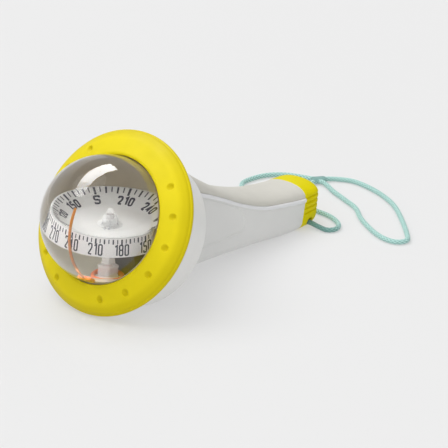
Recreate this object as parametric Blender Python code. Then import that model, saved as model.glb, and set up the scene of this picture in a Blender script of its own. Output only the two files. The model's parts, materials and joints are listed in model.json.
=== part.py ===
"""Hand bearing compass: a fluid-filled capsule in a round head, on a grip that holds two cells.

A cord lanyard hangs from the end cap of the grip.
"""

import math

import bpy
import numpy as np
from mathutils import Matrix, Vector

MM = 0.001

# The design frame has its origin at the centre of the dome. World: shifted so that the object rests on z = 0.
REST_Z = -49.6
MID_Y = 65.75
HEAD_TILT = math.radians(29.0)

# Head, millimetres: radius r about the head axis, station s along it, front positive.
DOME_R = 34.5
DOME_WALL = 2.5
BOWL_CENTRE_S = -6.0
BOWL_FLAT_S = -33.0
CUP_REAR_S = -37.2
CUP_REAR_R = 39.2
BUMPER_R = 50.5
DIMPLE_R = 42.4
SCREW_R = 42.0

# Card and gimbal, about the pivot centre.
PIVOT = Vector((0.0, 3.0, -0.3))
CARD_R = 22.8
SKIRT_R = 24.3
SKIRT_DROP = 9.9
LUBBER_R = 27.7
ARM_R = 29.2

# Grip, millimetres along y: half width, parting line, crown and underside.
WALL = 2.2
JOIN = 0.3
GRIP_END_Y = 150.0
CAP_END_Y = 166.0
HALF_WIDTH = ((15, 21.0), (45, 20.5), (73, 18.0), (94, 16.6), (115, 16.0), (149, 15.4), (170, 15.0))
PARTING = (
    (15, 12.0), (45, 6.5), (54, 3.6), (73, -5.0), (94, -15.6), (115, -23.6), (132, -27.0), (149, -29.6),
    (170, -31.0))
CROWN = (
    (15, 34.0), (51, 16.0), (60, 9.6), (68, 4.4), (77, -1.0), (90, -7.6), (112, -15.4), (130, -19.0),
    (150, -21.4), (170, -22.6))
UNDERSIDE = ((10, -37.2), (59, -40.8), (104, -45.3), (149, -49.6), (170, -49.6))

HOLE_Y = 156.8
HOLE_Z = -45.2
HOLE_R = 2.3
CORD_R = 1.5

CELL_R = 5.25
CELL_LENGTH = 44.5
CELL_X = 5.7
CELL_Z = -36.8
CELL_FRONT_Y = 98.0

for old in list(bpy.data.objects):
    bpy.data.objects.remove(old, do_unlink=True)


def head_matrix(s=0.0):
    """From a lathe's own frame, z along the head axis, to the design frame."""
    c, d = math.cos(HEAD_TILT), math.sin(HEAD_TILT)
    axis = Vector((0.0, -c, d))
    up = Vector((0.0, d, c))
    turn = Matrix(((1, up.x * 0, axis.x), (0, up.y, axis.y), (0, up.z, axis.z)))
    return Matrix.Translation(axis * s) @ turn.to_4x4()


HEAD = head_matrix()
AT_PIVOT = Matrix.Translation(PIVOT)


def material(name, colour, rough, metal=0.0, clear=0.0):
    made = bpy.data.materials.new(name)
    made.use_nodes = True
    shader = made.node_tree.nodes["Principled BSDF"]
    shader.inputs["Base Color"].default_value = (*colour, 1.0)
    shader.inputs["Roughness"].default_value = rough
    shader.inputs["Metallic"].default_value = metal
    shader.inputs["Transmission Weight"].default_value = clear
    made.diffuse_color = (*colour, 1.0 if clear < 0.5 else 0.3)
    return made


YELLOW = material("yellow_rubber", (0.76, 0.62, 0.01), 0.45)
YELLOW_HARD = material("yellow_plastic", (0.76, 0.62, 0.01), 0.38)
GREY = material("grey_plastic", (0.55, 0.55, 0.54), 0.45)
GREY_WARM = material("warm_grey_plastic", (0.62, 0.61, 0.56), 0.5)
TAUPE = material("taupe_plastic", (0.33, 0.30, 0.25), 0.5)
CLEAR = material("clear_acrylic", (0.95, 0.95, 0.95), 0.02, 0.0, 1.0)
WHITE = material("card_white", (0.85, 0.84, 0.8), 0.5)
ORANGE = material("orange_plastic", (0.85, 0.25, 0.02), 0.4)
BLACK = material("black_rubber", (0.03, 0.03, 0.03), 0.6)
DARK = material("dark_olive", (0.08, 0.075, 0.05), 0.6)
STEEL = material("steel", (0.55, 0.55, 0.56), 0.3, 1.0)
BRASS = material("brass", (0.7, 0.5, 0.2), 0.35, 1.0)
GREEN = material("board_green", (0.03, 0.2, 0.07), 0.5)
RUBY = material("jewel", (0.5, 0.02, 0.05), 0.05, 0.0, 0.6)
CORD = material("turquoise_cord", (0.36, 0.68, 0.62), 0.8)


def node(name, points, faces, look, matrix=None, origin=None):
    """A mesh object from points in millimetres of the design frame, with its origin on origin."""
    place = matrix or Matrix.Identity(4)
    base = Vector(origin) if origin is not None else Vector((0.0, MID_Y, REST_Z))
    mesh = bpy.data.meshes.new(name)
    moved = [(place @ Vector(p) - base) * MM for p in points]
    mesh.from_pydata([tuple(p) for p in moved], [], faces)
    mesh.validate()
    mesh.update()
    made = bpy.data.objects.new(name, mesh)
    made.location = (base - Vector((0.0, MID_Y, REST_Z))) * MM
    bpy.context.scene.collection.objects.link(made)
    mesh.materials.append(look)
    bpy.context.view_layer.objects.active = made
    made.select_set(True)
    bpy.ops.object.mode_set(mode="EDIT")
    bpy.ops.mesh.select_all(action="SELECT")
    bpy.ops.mesh.normals_make_consistent(inside=False)
    bpy.ops.object.mode_set(mode="OBJECT")
    mesh.shade_smooth()
    mesh.set_sharp_from_angle(angle=math.radians(32.0))
    made.select_set(False)
    return made


def ring_mesh(profile, seg):
    """A closed profile (r, s) turned about z. Points on the axis become one vertex."""
    points, rows = [], []
    for r, s in profile:
        if r < 1e-6:
            rows.append([len(points)] * seg)
            points.append((0.0, 0.0, s))
            continue
        rows.append(list(range(len(points), len(points) + seg)))
        for i in range(seg):
            a = 2 * math.pi * i / seg
            points.append((r * math.cos(a), r * math.sin(a), s))
    faces = []
    count = len(rows)
    for k in range(count):
        one, two = rows[k], rows[(k + 1) % count]
        for i in range(seg):
            j = (i + 1) % seg
            quad = [one[i], one[j], two[j], two[i]]
            face = []
            for v in quad:
                if v not in face:
                    face.append(v)
            if len(face) > 2:
                faces.append(face)
    return points, faces


def lathe(name, profile, look, seg=48, matrix=HEAD, origin=None):
    points, faces = ring_mesh(profile, seg)
    return node(name, points, faces, look, matrix, origin)


def loft_mesh(loops):
    """Closed loops of equal length joined in order, with both ends filled."""
    size = len(loops[0])
    points = [p for loop in loops for p in loop]
    faces = []
    for k in range(len(loops) - 1):
        for i in range(size):
            j = (i + 1) % size
            a, b = k * size, (k + 1) * size
            faces.append([a + i, a + j, b + j, b + i])
    faces.append(list(range(size)))
    faces.append([(len(loops) - 1) * size + i for i in range(size)][::-1])
    return points, faces


def loft(name, loops, look, matrix=None, origin=None):
    points, faces = loft_mesh(loops)
    return node(name, points, faces, look, matrix, origin)


def box_mesh(low, high):
    x0, y0, z0 = low
    x1, y1, z1 = high
    lower = [(x0, y0, z0), (x1, y0, z0), (x1, y1, z0), (x0, y1, z0)]
    upper = [(x0, y0, z1), (x1, y0, z1), (x1, y1, z1), (x0, y1, z1)]
    return loft_mesh([lower, upper])


def box(name, low, high, look, matrix=None, origin=None):
    points, faces = box_mesh(low, high)
    return node(name, points, faces, look, matrix, origin)


def rod_matrix(start, direction):
    """Frame with z along direction, standing at start."""
    turn = Vector((0, 0, 1)).rotation_difference(Vector(direction).normalized())
    return Matrix.Translation(Vector(start)) @ turn.to_matrix().to_4x4()


def joined(meshes):
    points, faces = [], []
    for some_points, some_faces, place in meshes:
        base = len(points)
        points += [tuple(place @ Vector(p)) for p in some_points]
        faces += [[v + base for v in face] for face in some_faces]
    return points, faces


def carve(target, name, points, faces, operation="DIFFERENCE"):
    """Cuts, or with UNION adds, closed meshes that don't overlap one another."""
    tool = node(name, points, faces, target.data.materials[0])
    tool.hide_render = True
    tool.display_type = "WIRE"
    step = target.modifiers.new(name, "BOOLEAN")
    step.operation = operation
    step.solver = "EXACT"
    step.object = tool
    return tool


def drill(profile_length, radius, seg=16):
    return ring_mesh([(0, 0), (radius, 0), (radius, profile_length), (0, profile_length)], seg)


def smooth(table, y):
    """A smooth curve through hand-chosen (y, value) points: monotone cubic between them."""
    ys = np.array([p[0] for p in table], float)
    vs = np.array([p[1] for p in table], float)
    slopes = np.diff(vs) / np.diff(ys)
    m = np.empty(len(ys))
    m[0], m[-1] = slopes[0], slopes[-1]
    for k in range(1, len(ys) - 1):
        a, b = slopes[k - 1], slopes[k]
        m[k] = 0.0 if a * b <= 0 else 2 * a * b / (a + b)
    y = min(max(y, ys[0]), ys[-1])
    k = min(int(np.searchsorted(ys, y, side="right")) - 1, len(ys) - 2)
    h = ys[k + 1] - ys[k]
    t = (y - ys[k]) / h
    return float(
        vs[k] * (1 + 2 * t) * (1 - t) ** 2
        + m[k] * h * t * (1 - t) ** 2
        + vs[k + 1] * t * t * (3 - 2 * t)
        + m[k + 1] * h * t * t * (t - 1)
    )


def arc(cx, cz, r, a0, a1, steps):
    out = []
    for i in range(steps + 1):
        a = math.radians(a0 + (a1 - a0) * i / steps)
        out.append((cx + r * math.cos(a), cz + r * math.sin(a)))
    return out


# ---------------------------------------------------------------- head

bumper_profile = [
    (34.95, -0.15), (35.6, 0.3), (36.6, 0.25), (46.0, -3.0), (47.8, -4.0), (49.1, -5.4), (49.7, -7.2),
    (50.3, -7.7), (BUMPER_R, -8.5), (50.3, -9.4), (49.0, -10.0), (48.0, -12.4), (47.0, -13.0),
    (46.3, -12.8), (46.3, -6.4), (43.4, -4.6), (36.6, -2.2), (34.95, -1.7),
]
bumper = lathe("bezel_bumper", bumper_profile, YELLOW, 56)

dome_profile = [(DOME_R * math.sin(a), DOME_R * math.cos(a)) for a in np.linspace(0, math.pi / 2, 9)]
dome_profile += [(DOME_R, -4.6), (38.5, -4.6), (38.5, -6.6)]
inner_r = DOME_R - DOME_WALL
dome_profile += [(inner_r, -6.6)]
dome_profile += [(inner_r * math.sin(a), inner_r * math.cos(a)) for a in np.linspace(math.pi / 2, 0, 7)]
lathe("dome", dome_profile, CLEAR, 40)

clamp_profile = [
    (34.95, -2.3), (36.5, -2.6), (43.2, -5.0), (46.0, -6.7), (46.0, -9.2), (38.9, -9.2),
    (38.9, -4.3), (34.95, -4.3),
]
clamp = lathe("clamp_ring", clamp_profile, GREY, 40)

bowl_out = DOME_R - 0.3
bowl_in = DOME_R - DOME_WALL
flat_in = BOWL_FLAT_S - BOWL_CENTRE_S
flat_out = flat_in - 2.2
out_end = math.acos(-flat_out / bowl_out)
in_end = math.acos(-flat_in / bowl_in)
bowl_profile = [(bowl_in, -6.9), (35.3, -6.9), (35.3, -7.9), (37.1, -7.9), (37.1, -6.9), (38.5, -6.9)]
bowl_profile += [(38.5, -9.0), (bowl_out, -9.0)]
bowl_profile += [
    (bowl_out * math.sin(a), BOWL_CENTRE_S - bowl_out * math.cos(a))
    for a in np.linspace(math.radians(81.0), out_end, 6)
]
bowl_profile += [(8.0, BOWL_FLAT_S - 2.2), (8.0, BOWL_FLAT_S)]
bowl_profile += [
    (bowl_in * math.sin(a), BOWL_CENTRE_S - bowl_in * math.cos(a))
    for a in np.linspace(in_end, math.radians(86.0), 6)
]
bowl = lathe("capsule_bowl", bowl_profile, TAUPE, 36)

fill_u = 14.0
points, faces = drill(6.0, 1.7)
fill_at = HEAD @ Matrix.Translation(Vector((0, fill_u, BOWL_FLAT_S - 4.0)))
carve(bowl, "fill_hole", [tuple(fill_at @ Vector(p)) for p in points], faces)
# Two bearing tabs that reach forward from the bowl's rim to the gimbal pins.
pin_s = -math.cos(HEAD_TILT) * PIVOT.y + math.sin(HEAD_TILT) * PIVOT.z
pin_u = math.sin(HEAD_TILT) * PIVOT.y + math.cos(HEAD_TILT) * PIVOT.z
for side, tag in ((1, "right"), (-1, "left")):
    foot = [(side * x, u, s) for x, u, s in (
        (30.1, pin_u - 2, -8.6), (33.0, pin_u - 2, -8.6), (33.0, pin_u - 2, -7.2),
        (31.3, pin_u - 2, -7.2), (31.3, pin_u - 2, -1.0), (30.1, pin_u - 2, -1.0))]
    top = [(x, u + 4.0, s) for x, u, s in foot]
    points, faces = loft_mesh([foot, top])
    points = [tuple(HEAD @ Vector(p)) for p in points]
    carve(bowl, "tab_" + tag, points, faces, "UNION")
points, faces = drill(70.0, 0.83, 14)
bore = rod_matrix(PIVOT + Vector((-35.0, 0, 0)), (1, 0, 0))
inner_only = [(p[0], p[1], 3.3 + p[2] * (63.4 / 70.0)) for p in points]
carve(bowl, "pin_bore", [tuple(bore @ Vector(p)) for p in inner_only], faces)
lathe("fill_plug", [(0, -2.6), (2.6, -2.6), (2.6, -2.5), (1.4, -2.5), (1.4, -0.4), (0, -0.4)], BRASS, 20,
      HEAD @ Matrix.Translation(Vector((0, fill_u, BOWL_FLAT_S))))

lathe("capsule_seal", arc(36.2, -7.25, 0.55, 0, 300, 5), BLACK, 36)

lathe("diaphragm", [
    (0, -35.9), (4.0, -35.5), (6.0, -36.1), (8.0, -35.5), (10.0, -35.5), (10.0, -36.4), (8.2, -36.4),
    (6.0, -37.0), (4.0, -36.4), (0, -36.8)], BLACK, 24)
lathe("diaphragm_ring", [(8.6, -36.7), (10.0, -36.7), (10.0, -38.0), (8.6, -38.0)], STEEL, 24)

cup_profile = [
    (34.8, -9.4), (45.9, -9.4), (45.9, -13.2), (46.9, -13.5), (46.9, -14.3), (46.0, -16.2),
    (CUP_REAR_R + 0.5, CUP_REAR_S + 1.0), (CUP_REAR_R - 0.4, CUP_REAR_S), (18.6, CUP_REAR_S),
    (18.6, CUP_REAR_S + 2.3), (36.3, CUP_REAR_S + 2.3), (42.6, -16.0), (42.6, -11.8), (34.8, -11.8),
]
cup = lathe("head_cup", cup_profile, GREY, 56)
points, faces = box_mesh((-60, -60, REST_Z - 20), (60, 90, REST_Z))
carve(cup, "rest_plane", points, faces)

# Six screws hold the clamp ring, the dome and the bowl down on the cup's shelf.
holes, deep = [], []
for k in range(6):
    a = math.radians(30 + 60 * k)
    at = Matrix.Translation(Vector((SCREW_R * math.cos(a), SCREW_R * math.sin(a), 0)))
    bored = ring_mesh([(0, -13), (1.4, -13), (1.4, -7.4), (2.5, -7.4), (2.5, -2), (0, -2)], 12)
    holes.append((bored[0], bored[1], HEAD @ at))
    pilot = ring_mesh([(0, -13), (1.4, -13), (1.4, -8), (0, -8)], 12)
    deep.append((pilot[0], pilot[1], HEAD @ at))
    profile = [(0, -6.0), (2.1, -6.0), (2.1, -7.1), (1.1, -7.1), (1.1, -12.6), (0, -12.6)]
    lathe(f"clamp_screw_{k + 1}", profile, STEEL, 12, HEAD @ at)
carve(clamp, "clamp_holes", *joined(holes))
carve(cup, "cup_holes", *joined(deep))

# ---------------------------------------------------------------- grip


def station(y0, lean, curve):
    """The point of a curve in the leaning plane y = y0 + lean * z."""
    y = y0
    for _ in range(40):
        z = smooth(curve, y)
        y = 0.5 * y + 0.5 * (y0 + lean * z)
    return smooth(curve, y)


def grip_measures(y0, lean):
    crown = station(y0, lean, CROWN)
    parting = station(y0, lean, PARTING)
    under = station(y0, lean, UNDERSIDE)
    width = smooth(HALF_WIDTH, y0 + lean * parting)
    return width, parting, crown, under


def arch(width, base, crown, steps, power=2.35):
    """Right to left over the top."""
    out = []
    for i in range(steps + 1):
        a = math.pi * i / steps
        c, s = math.cos(a), math.sin(a)
        x = width * math.copysign(abs(c) ** (2 / power), c)
        out.append((x, base + (crown - base) * abs(s) ** (2 / power)))
    return out


def lower_side(width, parting, under, bead, inset):
    """Right flank from the parting line down to the middle of the underside."""
    w, zb = width - inset, under + inset
    corner = 6.0 - 0.6 * inset
    foot = w - 0.8
    top = parting - 0.3
    if bead:
        side = [(w, top), (w + 0.5, top - 0.35), (w + 0.5, top - 1.3), (w - 0.1, top - 2.1)]
    else:
        side = [(w, top), (w, top - 0.5), (w, top - 1.3), (w - 0.1, top - 2.1)]
    side += arc(foot - corner, zb + corner, corner, 0, -90, 5)
    return side


def lower_loop(width, parting, under):
    right = lower_side(width, parting, under, True, 0.0)
    inner = lower_side(width, parting, under, False, WALL)
    outer = right + [(-x, z) for x, z in reversed(right)]
    inside = inner + [(-x, z) for x, z in reversed(inner)]
    return outer + inside[::-1]


def upper_loop(width, parting, crown, steps=12):
    outer = arch(width - 0.35, parting, crown, steps)
    inside = arch(width - WALL - 0.3, parting, crown - WALL, steps)
    return outer + inside[::-1]


def in_plane(loop, y0, lean):
    return [(x, y0 + lean * z, z) for x, z in loop]


lean_root = math.tan(HEAD_TILT)
root_y = -(CUP_REAR_S - JOIN) / math.cos(HEAD_TILT)
lowers, uppers = [], []
STATIONS = 14
for k in range(STATIONS + 1):
    t = k / STATIONS
    y0 = root_y + (GRIP_END_Y - root_y) * t
    lean = lean_root * max(0.0, 1 - t / 0.55) ** 1.3
    width, parting, crown, under = grip_measures(y0, lean)
    lowers.append(in_plane(lower_loop(width, parting, under), y0, lean))
    uppers.append(in_plane(upper_loop(width, parting, crown), y0, lean))
lower = loft("handle_lower", lowers, GREY)
loft("handle_upper", uppers, GREY_WARM)

# Round hole under the root for the light button.
BUTTON_Y = 44.0
button_z = smooth(UNDERSIDE, BUTTON_Y)
points, faces = drill(14.0, 6.0, 28)
hole_at = rod_matrix((0, BUTTON_Y, button_z - 5.0), (0, 0, 1))
carve(lower, "button_hole", [tuple(hole_at @ Vector(p)) for p in points], faces)
press_z = button_z + 3.6
lathe("light_button", [
    (0, -5.4), (3.6, -5.2), (5.1, -4.4), (5.6, -3.4), (5.6, -0.5), (7.2, -0.5), (7.2, 0.4), (2.0, 0.4),
    (2.0, 1.2), (0, 1.2)], YELLOW, 28,
    Matrix.Translation(Vector((0, BUTTON_Y, press_z))), (0, BUTTON_Y, press_z))

BOARD_Z = press_z + 5.8
lamp_board = box("lamp_board", (-8.0, 30.5, BOARD_Z), (8.0, 95.6, BOARD_Z + 1.4), GREEN)
box("light_switch", (-3.0, BUTTON_Y - 3, BOARD_Z - 3.4), (3.0, BUTTON_Y + 3, BOARD_Z - 0.3), BLACK)
LED_Z = BOARD_Z + 0.7
lathe("lamp_led", [(0, 4.9), (0.9, 4.7), (1.5, 4.0), (1.5, 0.4), (1.9, 0.4), (1.9, 0), (0, 0)], CLEAR, 20,
      rod_matrix((0, 30.2, LED_Z), (0, -1, 0)))

# ---------------------------------------------------------------- cells and contacts

for k, x in enumerate((-CELL_X, CELL_X)):
    nub = 1.0
    body = CELL_LENGTH - nub
    profile = [(0, 0), (CELL_R - 0.4, 0), (CELL_R, 0.4), (CELL_R, body - 0.5), (CELL_R - 0.5, body),
               (1.9, body), (1.9, CELL_LENGTH), (0, CELL_LENGTH)]
    if k == 0:
        place = rod_matrix((x, CELL_FRONT_Y, CELL_Z), (0, 1, 0))
    else:
        place = rod_matrix((x, CELL_FRONT_Y + CELL_LENGTH, CELL_Z), (0, -1, 0))
    lathe(f"cell_{k + 1}", profile, STEEL, 24, place)


def coil(name, start, radius0, radius1, length, turns, wire, look):
    """A conical spring along +y, as one closed tube with flat ends."""
    loops = []
    steps = int(turns * 8)
    for i in range(steps + 1):
        t = i / steps
        a = 2 * math.pi * turns * t
        r = radius0 + (radius1 - radius0) * t
        here = Vector((start[0] + r * math.cos(a), start[1] + length * t, start[2] + r * math.sin(a)))
        out = Vector((math.cos(a), 0, math.sin(a)))
        up = Vector((0, 1, 0))
        loop = []
        for j in range(5):
            b = 2 * math.pi * j / 5
            loop.append(tuple(here + out * (wire * math.cos(b)) + up * (wire * math.sin(b))))
        loops.append(loop)
    return loft(name, loops, look)


cell_end = CELL_FRONT_Y + CELL_LENGTH
coil("cell_spring_1", (-CELL_X, cell_end + 0.75, CELL_Z), 2.0, 3.6, 4.2, 3, 0.35, STEEL)
coil("cell_spring_2", (CELL_X, cell_end + 0.75, CELL_Z), 2.0, 3.6, 4.2, 3, 0.35, STEEL)
box("contact_front", (-10.6, 96.4, CELL_Z - 4.2), (10.6, 97.2, CELL_Z + 4.6), STEEL)
box("contact_rear", (-9.8, cell_end + 5.6, CELL_Z - 4.0), (9.8, cell_end + 6.2, CELL_Z + 4.0), STEEL)

# ---------------------------------------------------------------- end cap


def full_loop(y, inset):
    """Whole outline of the grip at y, shrunk by inset on every side."""
    width, parting, crown, under = grip_measures(y, 0.0)
    over = arch(width - 0.2 - inset, parting, crown - inset, 14)
    corner = max(6.0 - 0.6 * inset, 1.5)
    foot = width - 0.8 - inset
    below = arc(foot - corner, under + inset + corner, corner, 0, -90, 5)
    left = [(-x, z) for x, z in below]
    return [(x, y, z) for x, z in over] + [(x, y, z) for x, z in left] + [(x, y, z) for x, z in below[::-1]]


def cap_loop(y, inset, lift):
    """As full_loop, with the lower rear edge lifted to a rounded corner."""
    loop = full_loop(y, inset)
    low = min(p[2] for p in loop)
    out = []
    for x, yy, z in loop:
        share = max(0.0, 1 - (z - low) / 9.0)
        out.append((x, yy, z + lift * share))
    return out


cap_start = GRIP_END_Y + JOIN
plug_inset = WALL + 1.0
cap_loops = [
    full_loop(143.6, plug_inset), full_loop(cap_start - 0.01, plug_inset), full_loop(cap_start, 0.0),
    full_loop(154.0, 0.0), cap_loop(159.0, 0.0, 0.25), cap_loop(162.4, 0.35, 1.4),
    cap_loop(164.6, 1.1, 2.7), cap_loop(165.7, 2.1, 3.7), cap_loop(CAP_END_Y, 3.1, 4.4),
]
cap = loft("end_cap", cap_loops, YELLOW_HARD)
hollow = [full_loop(140.0, plug_inset + 1.1), full_loop(149.3, plug_inset + 1.1)]
carve(cap, "cap_hollow", *loft_mesh(hollow))
points, faces = drill(60.0, HOLE_R, 20)
hole_at = rod_matrix((-30, HOLE_Y, HOLE_Z), (1, 0, 0))
carve(cap, "lanyard_bore", [tuple(hole_at @ Vector(p)) for p in points], faces)
points, faces = joined([
    (*ring_mesh([(0, 0), (HOLE_R, 0), (HOLE_R + 2.4, 4), (0, 4)], 20),
     rod_matrix((s * 12.8, HOLE_Y, HOLE_Z), (s, 0, 0)))
    for s in (1, -1)])
carve(cap, "bore_mouths", points, faces)

seal_loops = []
for dy, grow in ((-0.4, 0.0), (0.4, 0.0)):
    outer = full_loop(146.6 + dy, WALL + 0.45)
    inner = full_loop(146.6 + dy, WALL + 0.85)
    seal_loops.append((outer, inner))
size = len(seal_loops[0][0])
points = seal_loops[0][0] + seal_loops[0][1] + seal_loops[1][0] + seal_loops[1][1]
faces = []
for i in range(size):
    j = (i + 1) % size
    a, b, c, d = 0, size, 2 * size, 3 * size
    faces += [[a + i, a + j, b + j, b + i], [c + i, d + i, d + j, c + j]]
    faces += [[a + i, c + i, c + j, a + j], [b + i, b + j, d + j, d + i]]
node("cap_seal", points, faces, BLACK)

# ---------------------------------------------------------------- gimbal, hung on two pins across the head


def bent_bar(radius, half_radial, half_wide, a0, a1, steps, point):
    """A bar of rectangular section along an arc. point(r, a, w) gives a place."""
    loops = []
    for i in range(steps + 1):
        a = math.radians(a0 + (a1 - a0) * i / steps)
        loops.append([
            point(radius - half_radial, a, -half_wide), point(radius + half_radial, a, -half_wide),
            point(radius + half_radial, a, half_wide), point(radius - half_radial, a, half_wide)])
    return loft_mesh(loops)


bore_mesh = drill(70.0, 0.83, 14)
for side, tag in ((1, "right"), (-1, "left")):
    def across(r, a, w, side=side):
        return (PIVOT.x + side * r * math.cos(a), PIVOT.y + w, PIVOT.z - r * math.sin(a))

    points, faces = bent_bar(ARM_R, 0.55, 1.3, 3, 60, 10, across)
    arm = node("gimbal_arm_" + tag, points, faces, CLEAR, None, PIVOT)
    eye = ring_mesh([(0, -0.6), (2.0, -0.6), (2.0, 0.6), (0, 0.6)], 16)
    at = rod_matrix(PIVOT + Vector((side * ARM_R, 0, 0)), (side, 0, 0))
    carve(arm, "eye_" + tag, [tuple(at @ Vector(p)) for p in eye[0]], eye[1], "UNION")
    carve(arm, "eye_bore_" + tag, [tuple(bore @ Vector(p)) for p in bore_mesh[0]], bore_mesh[1])
    pin = ring_mesh([(0, 0), (0.55, 0), (0.55, 2.9), (0, 2.9)], 12)
    at = rod_matrix(PIVOT + Vector((side * 28.5, 0, 0)), (side, 0, 0))
    node("gimbal_pin_" + tag, pin[0], pin[1], STEEL, at, PIVOT)

lathe("gimbal_base", [
    (0, -28.2), (7.6, -27.6), (12.0, -25.9), (12.5, -24.9), (11.8, -24.3), (7.6, -23.4), (4.0, -22.9),
    (0, -22.9)],
    ORANGE, 36, AT_PIVOT, PIVOT)


def sagittal(r, a, w):
    return (PIVOT.x + w, PIVOT.y - r * math.cos(a), PIVOT.z + r * math.sin(a))


points, faces = bent_bar(LUBBER_R, 0.5, 0.65, -61.5, 25.0, 22, sagittal)
node("lubber_line", points, faces, ORANGE, None, PIVOT)
weight_profile = [(4.5, -22.5), (5.9, -22.5), (5.9, -21.4), (4.5, -21.4)]
lathe("gimbal_weight", weight_profile, ORANGE, 32, AT_PIVOT, PIVOT)
trim_low = PIVOT + Vector((-5.5, 6.3, -22.7))
box("trim_block", trim_low, trim_low + Vector((11.0, 5.0, 8.1)), DARK, None, PIVOT)


def square(half, z, cut):
    a, b = half, half - cut
    return [(a, -b, z), (a, b, z), (b, a, z), (-b, a, z), (-a, b, z), (-a, -b, z), (-b, -a, z), (b, -a, z)]


loft("pivot_block", [
    square(2.8, -22.5, 0.5), square(2.8, -18.5, 0.5), square(2.1, -18.1, 0.4), square(1.55, -14.2, 0.3)],
    CLEAR, AT_PIVOT, PIVOT)
needle_profile = [(0, -13.9), (0.6, -13.9), (0.6, -1.15), (0.15, 0.15), (0, 0.15)]
lathe("pivot_needle", needle_profile, STEEL, 12, AT_PIVOT, PIVOT)

# ---------------------------------------------------------------- card

lathe("card", [
    (3.5, -3.35), (15.8, -3.35), (CARD_R - 0.3, 0.0), (CARD_R + 0.2, -0.12), (CARD_R + 0.5, -0.6),
    (SKIRT_R, -SKIRT_DROP), (SKIRT_R - 0.7, -SKIRT_DROP), (CARD_R - 0.35, -1.2), (15.4, -4.25),
    (3.5, -4.25)], WHITE, 48, AT_PIVOT, PIVOT)
lathe("card_float", [(3.6, -4.55), (13.6, -4.55), (12.2, -7.0), (4.6, -7.0)], WHITE, 32, AT_PIVOT, PIVOT)
for k, y in enumerate((-6.6, 6.6)):
    low = PIVOT + Vector((-9.0, y - 1.5, -9.4))
    box(f"magnet_{k + 1}", low, low + Vector((18.0, 3.0, 2.1)), STEEL, None, PIVOT)
lathe("card_cap", [
    (3.2, -3.05), (5.0, -3.05), (5.0, -2.15), (4.1, -1.85), (3.7, 1.2), (2.9, 2.4), (1.4, 2.9), (1.2, 3.9),
    (0, 4.1), (0, 1.75), (2.7, 1.45)], CLEAR, 28, AT_PIVOT, PIVOT)
jewel_profile = [(0, 1.35), (1.7, 1.35), (1.7, -0.05), (1.0, -0.05), (0, 0.65)]
lathe("pivot_jewel", jewel_profile, RUBY, 16, AT_PIVOT, PIVOT)

# ---------------------------------------------------------------- lanyard, lying on the table


def rounded(route, spacing):
    """Evenly spaced points on a smooth curve through the route points."""
    fine = []
    pts = [Vector(p) for p in route]
    ends = [2 * pts[0] - pts[1]] + pts + [2 * pts[-1] - pts[-2]]
    for k in range(1, len(ends) - 2):
        a, b, c, d = ends[k - 1], ends[k], ends[k + 1], ends[k + 2]
        for i in range(24):
            t = i / 24
            fine.append(0.5 * (2 * b + (c - a) * t + (2 * a - 5 * b + 4 * c - d) * t * t
                               + (3 * b - a - 3 * c + d) * t ** 3))
    fine.append(pts[-1])
    lengths = [0.0]
    for p, q in zip(fine, fine[1:]):
        lengths.append(lengths[-1] + (q - p).length)
    count = max(2, int(round(lengths[-1] / spacing)))
    out, k = [], 0
    for i in range(count + 1):
        want = lengths[-1] * i / count
        while k < len(lengths) - 2 and lengths[k + 1] < want:
            k += 1
        share = (want - lengths[k]) / max(lengths[k + 1] - lengths[k], 1e-9)
        out.append(fine[k].lerp(fine[k + 1], share))
    return out


def cord(name, route, spacing=7.0):
    curve = bpy.data.curves.new(name, "CURVE")
    curve.dimensions = "3D"
    curve.bevel_depth = CORD_R * MM
    curve.bevel_resolution = 2
    curve.use_fill_caps = True
    points = rounded(route, spacing)
    spline = curve.splines.new("POLY")
    spline.points.add(len(points) - 1)
    for place, p in zip(spline.points, points):
        q = (p - Vector((0, MID_Y, REST_Z))) * MM
        place.co = (q.x, q.y, q.z, 1.0)
    made = bpy.data.objects.new(name, curve)
    bpy.context.scene.collection.objects.link(made)
    curve.materials.append(CORD)
    return made


TABLE = REST_Z + CORD_R + 0.05
KNOT = Vector((-25.0, 215.0, TABLE + 1.6))
cord("lanyard_near", [
    (0.3, HOLE_Y, HOLE_Z), (8, HOLE_Y, HOLE_Z), (16, HOLE_Y + 0.2, HOLE_Z - 0.7), (22, 156.4, TABLE + 0.9),
    (27.5, 156.8, TABLE), (30.6, 160.5, TABLE), (29.0, 165.5, TABLE), (23.5, 170.3, TABLE),
    (14, 174.6, TABLE), (2, 176.0, TABLE), (-14, 176.2, TABLE), (-32, 174.6, TABLE), (-48, 174.6, TABLE),
    (-57, 182, TABLE), (-58, 192, TABLE), (-54.5, 203, TABLE), (-46, 211.2, TABLE), (-36, 214.4, TABLE),
    (-30.8, 214.9, TABLE + 1.0)], 6.5)
cord("lanyard_far", [
    (-0.3, HOLE_Y, HOLE_Z), (-8, HOLE_Y, HOLE_Z), (-15, HOLE_Y + 0.4, HOLE_Z - 0.6),
    (-21, 158.6, TABLE + 0.9), (-26.2, 163.0, TABLE), (-27.5, 168.0, TABLE + 1.6),
    (-27.6, 176.0, TABLE + 3.4),
    (-27.4, 184.0, TABLE + 1.4), (-27.0, 194.0, TABLE), (-26.6, 204.0, TABLE + 0.4),
    (-26.4, 208.6, TABLE + 1.2)], 6.5)
cord("lanyard_loop", [
    (-22.6, 221.2, TABLE + 1.2), (-19, 224.6, TABLE + 0.3), (-9, 227.6, TABLE), (4, 225.6, TABLE),
    (19, 220, TABLE), (34, 211, TABLE), (51, 195.6, TABLE), (66, 180.0, TABLE), (70.4, 173.4, TABLE),
    (67.6, 168.0, TABLE), (59.6, 167.4, TABLE), (47.6, 172.2, TABLE), (31, 183, TABLE), (18.6, 194, TABLE),
    (5.6, 200.6, TABLE), (-7.5, 206.4, TABLE), (-16.0, 210.6, TABLE + 0.6), (-19.2, 212.6, TABLE + 1.3)], 6.5)
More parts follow.
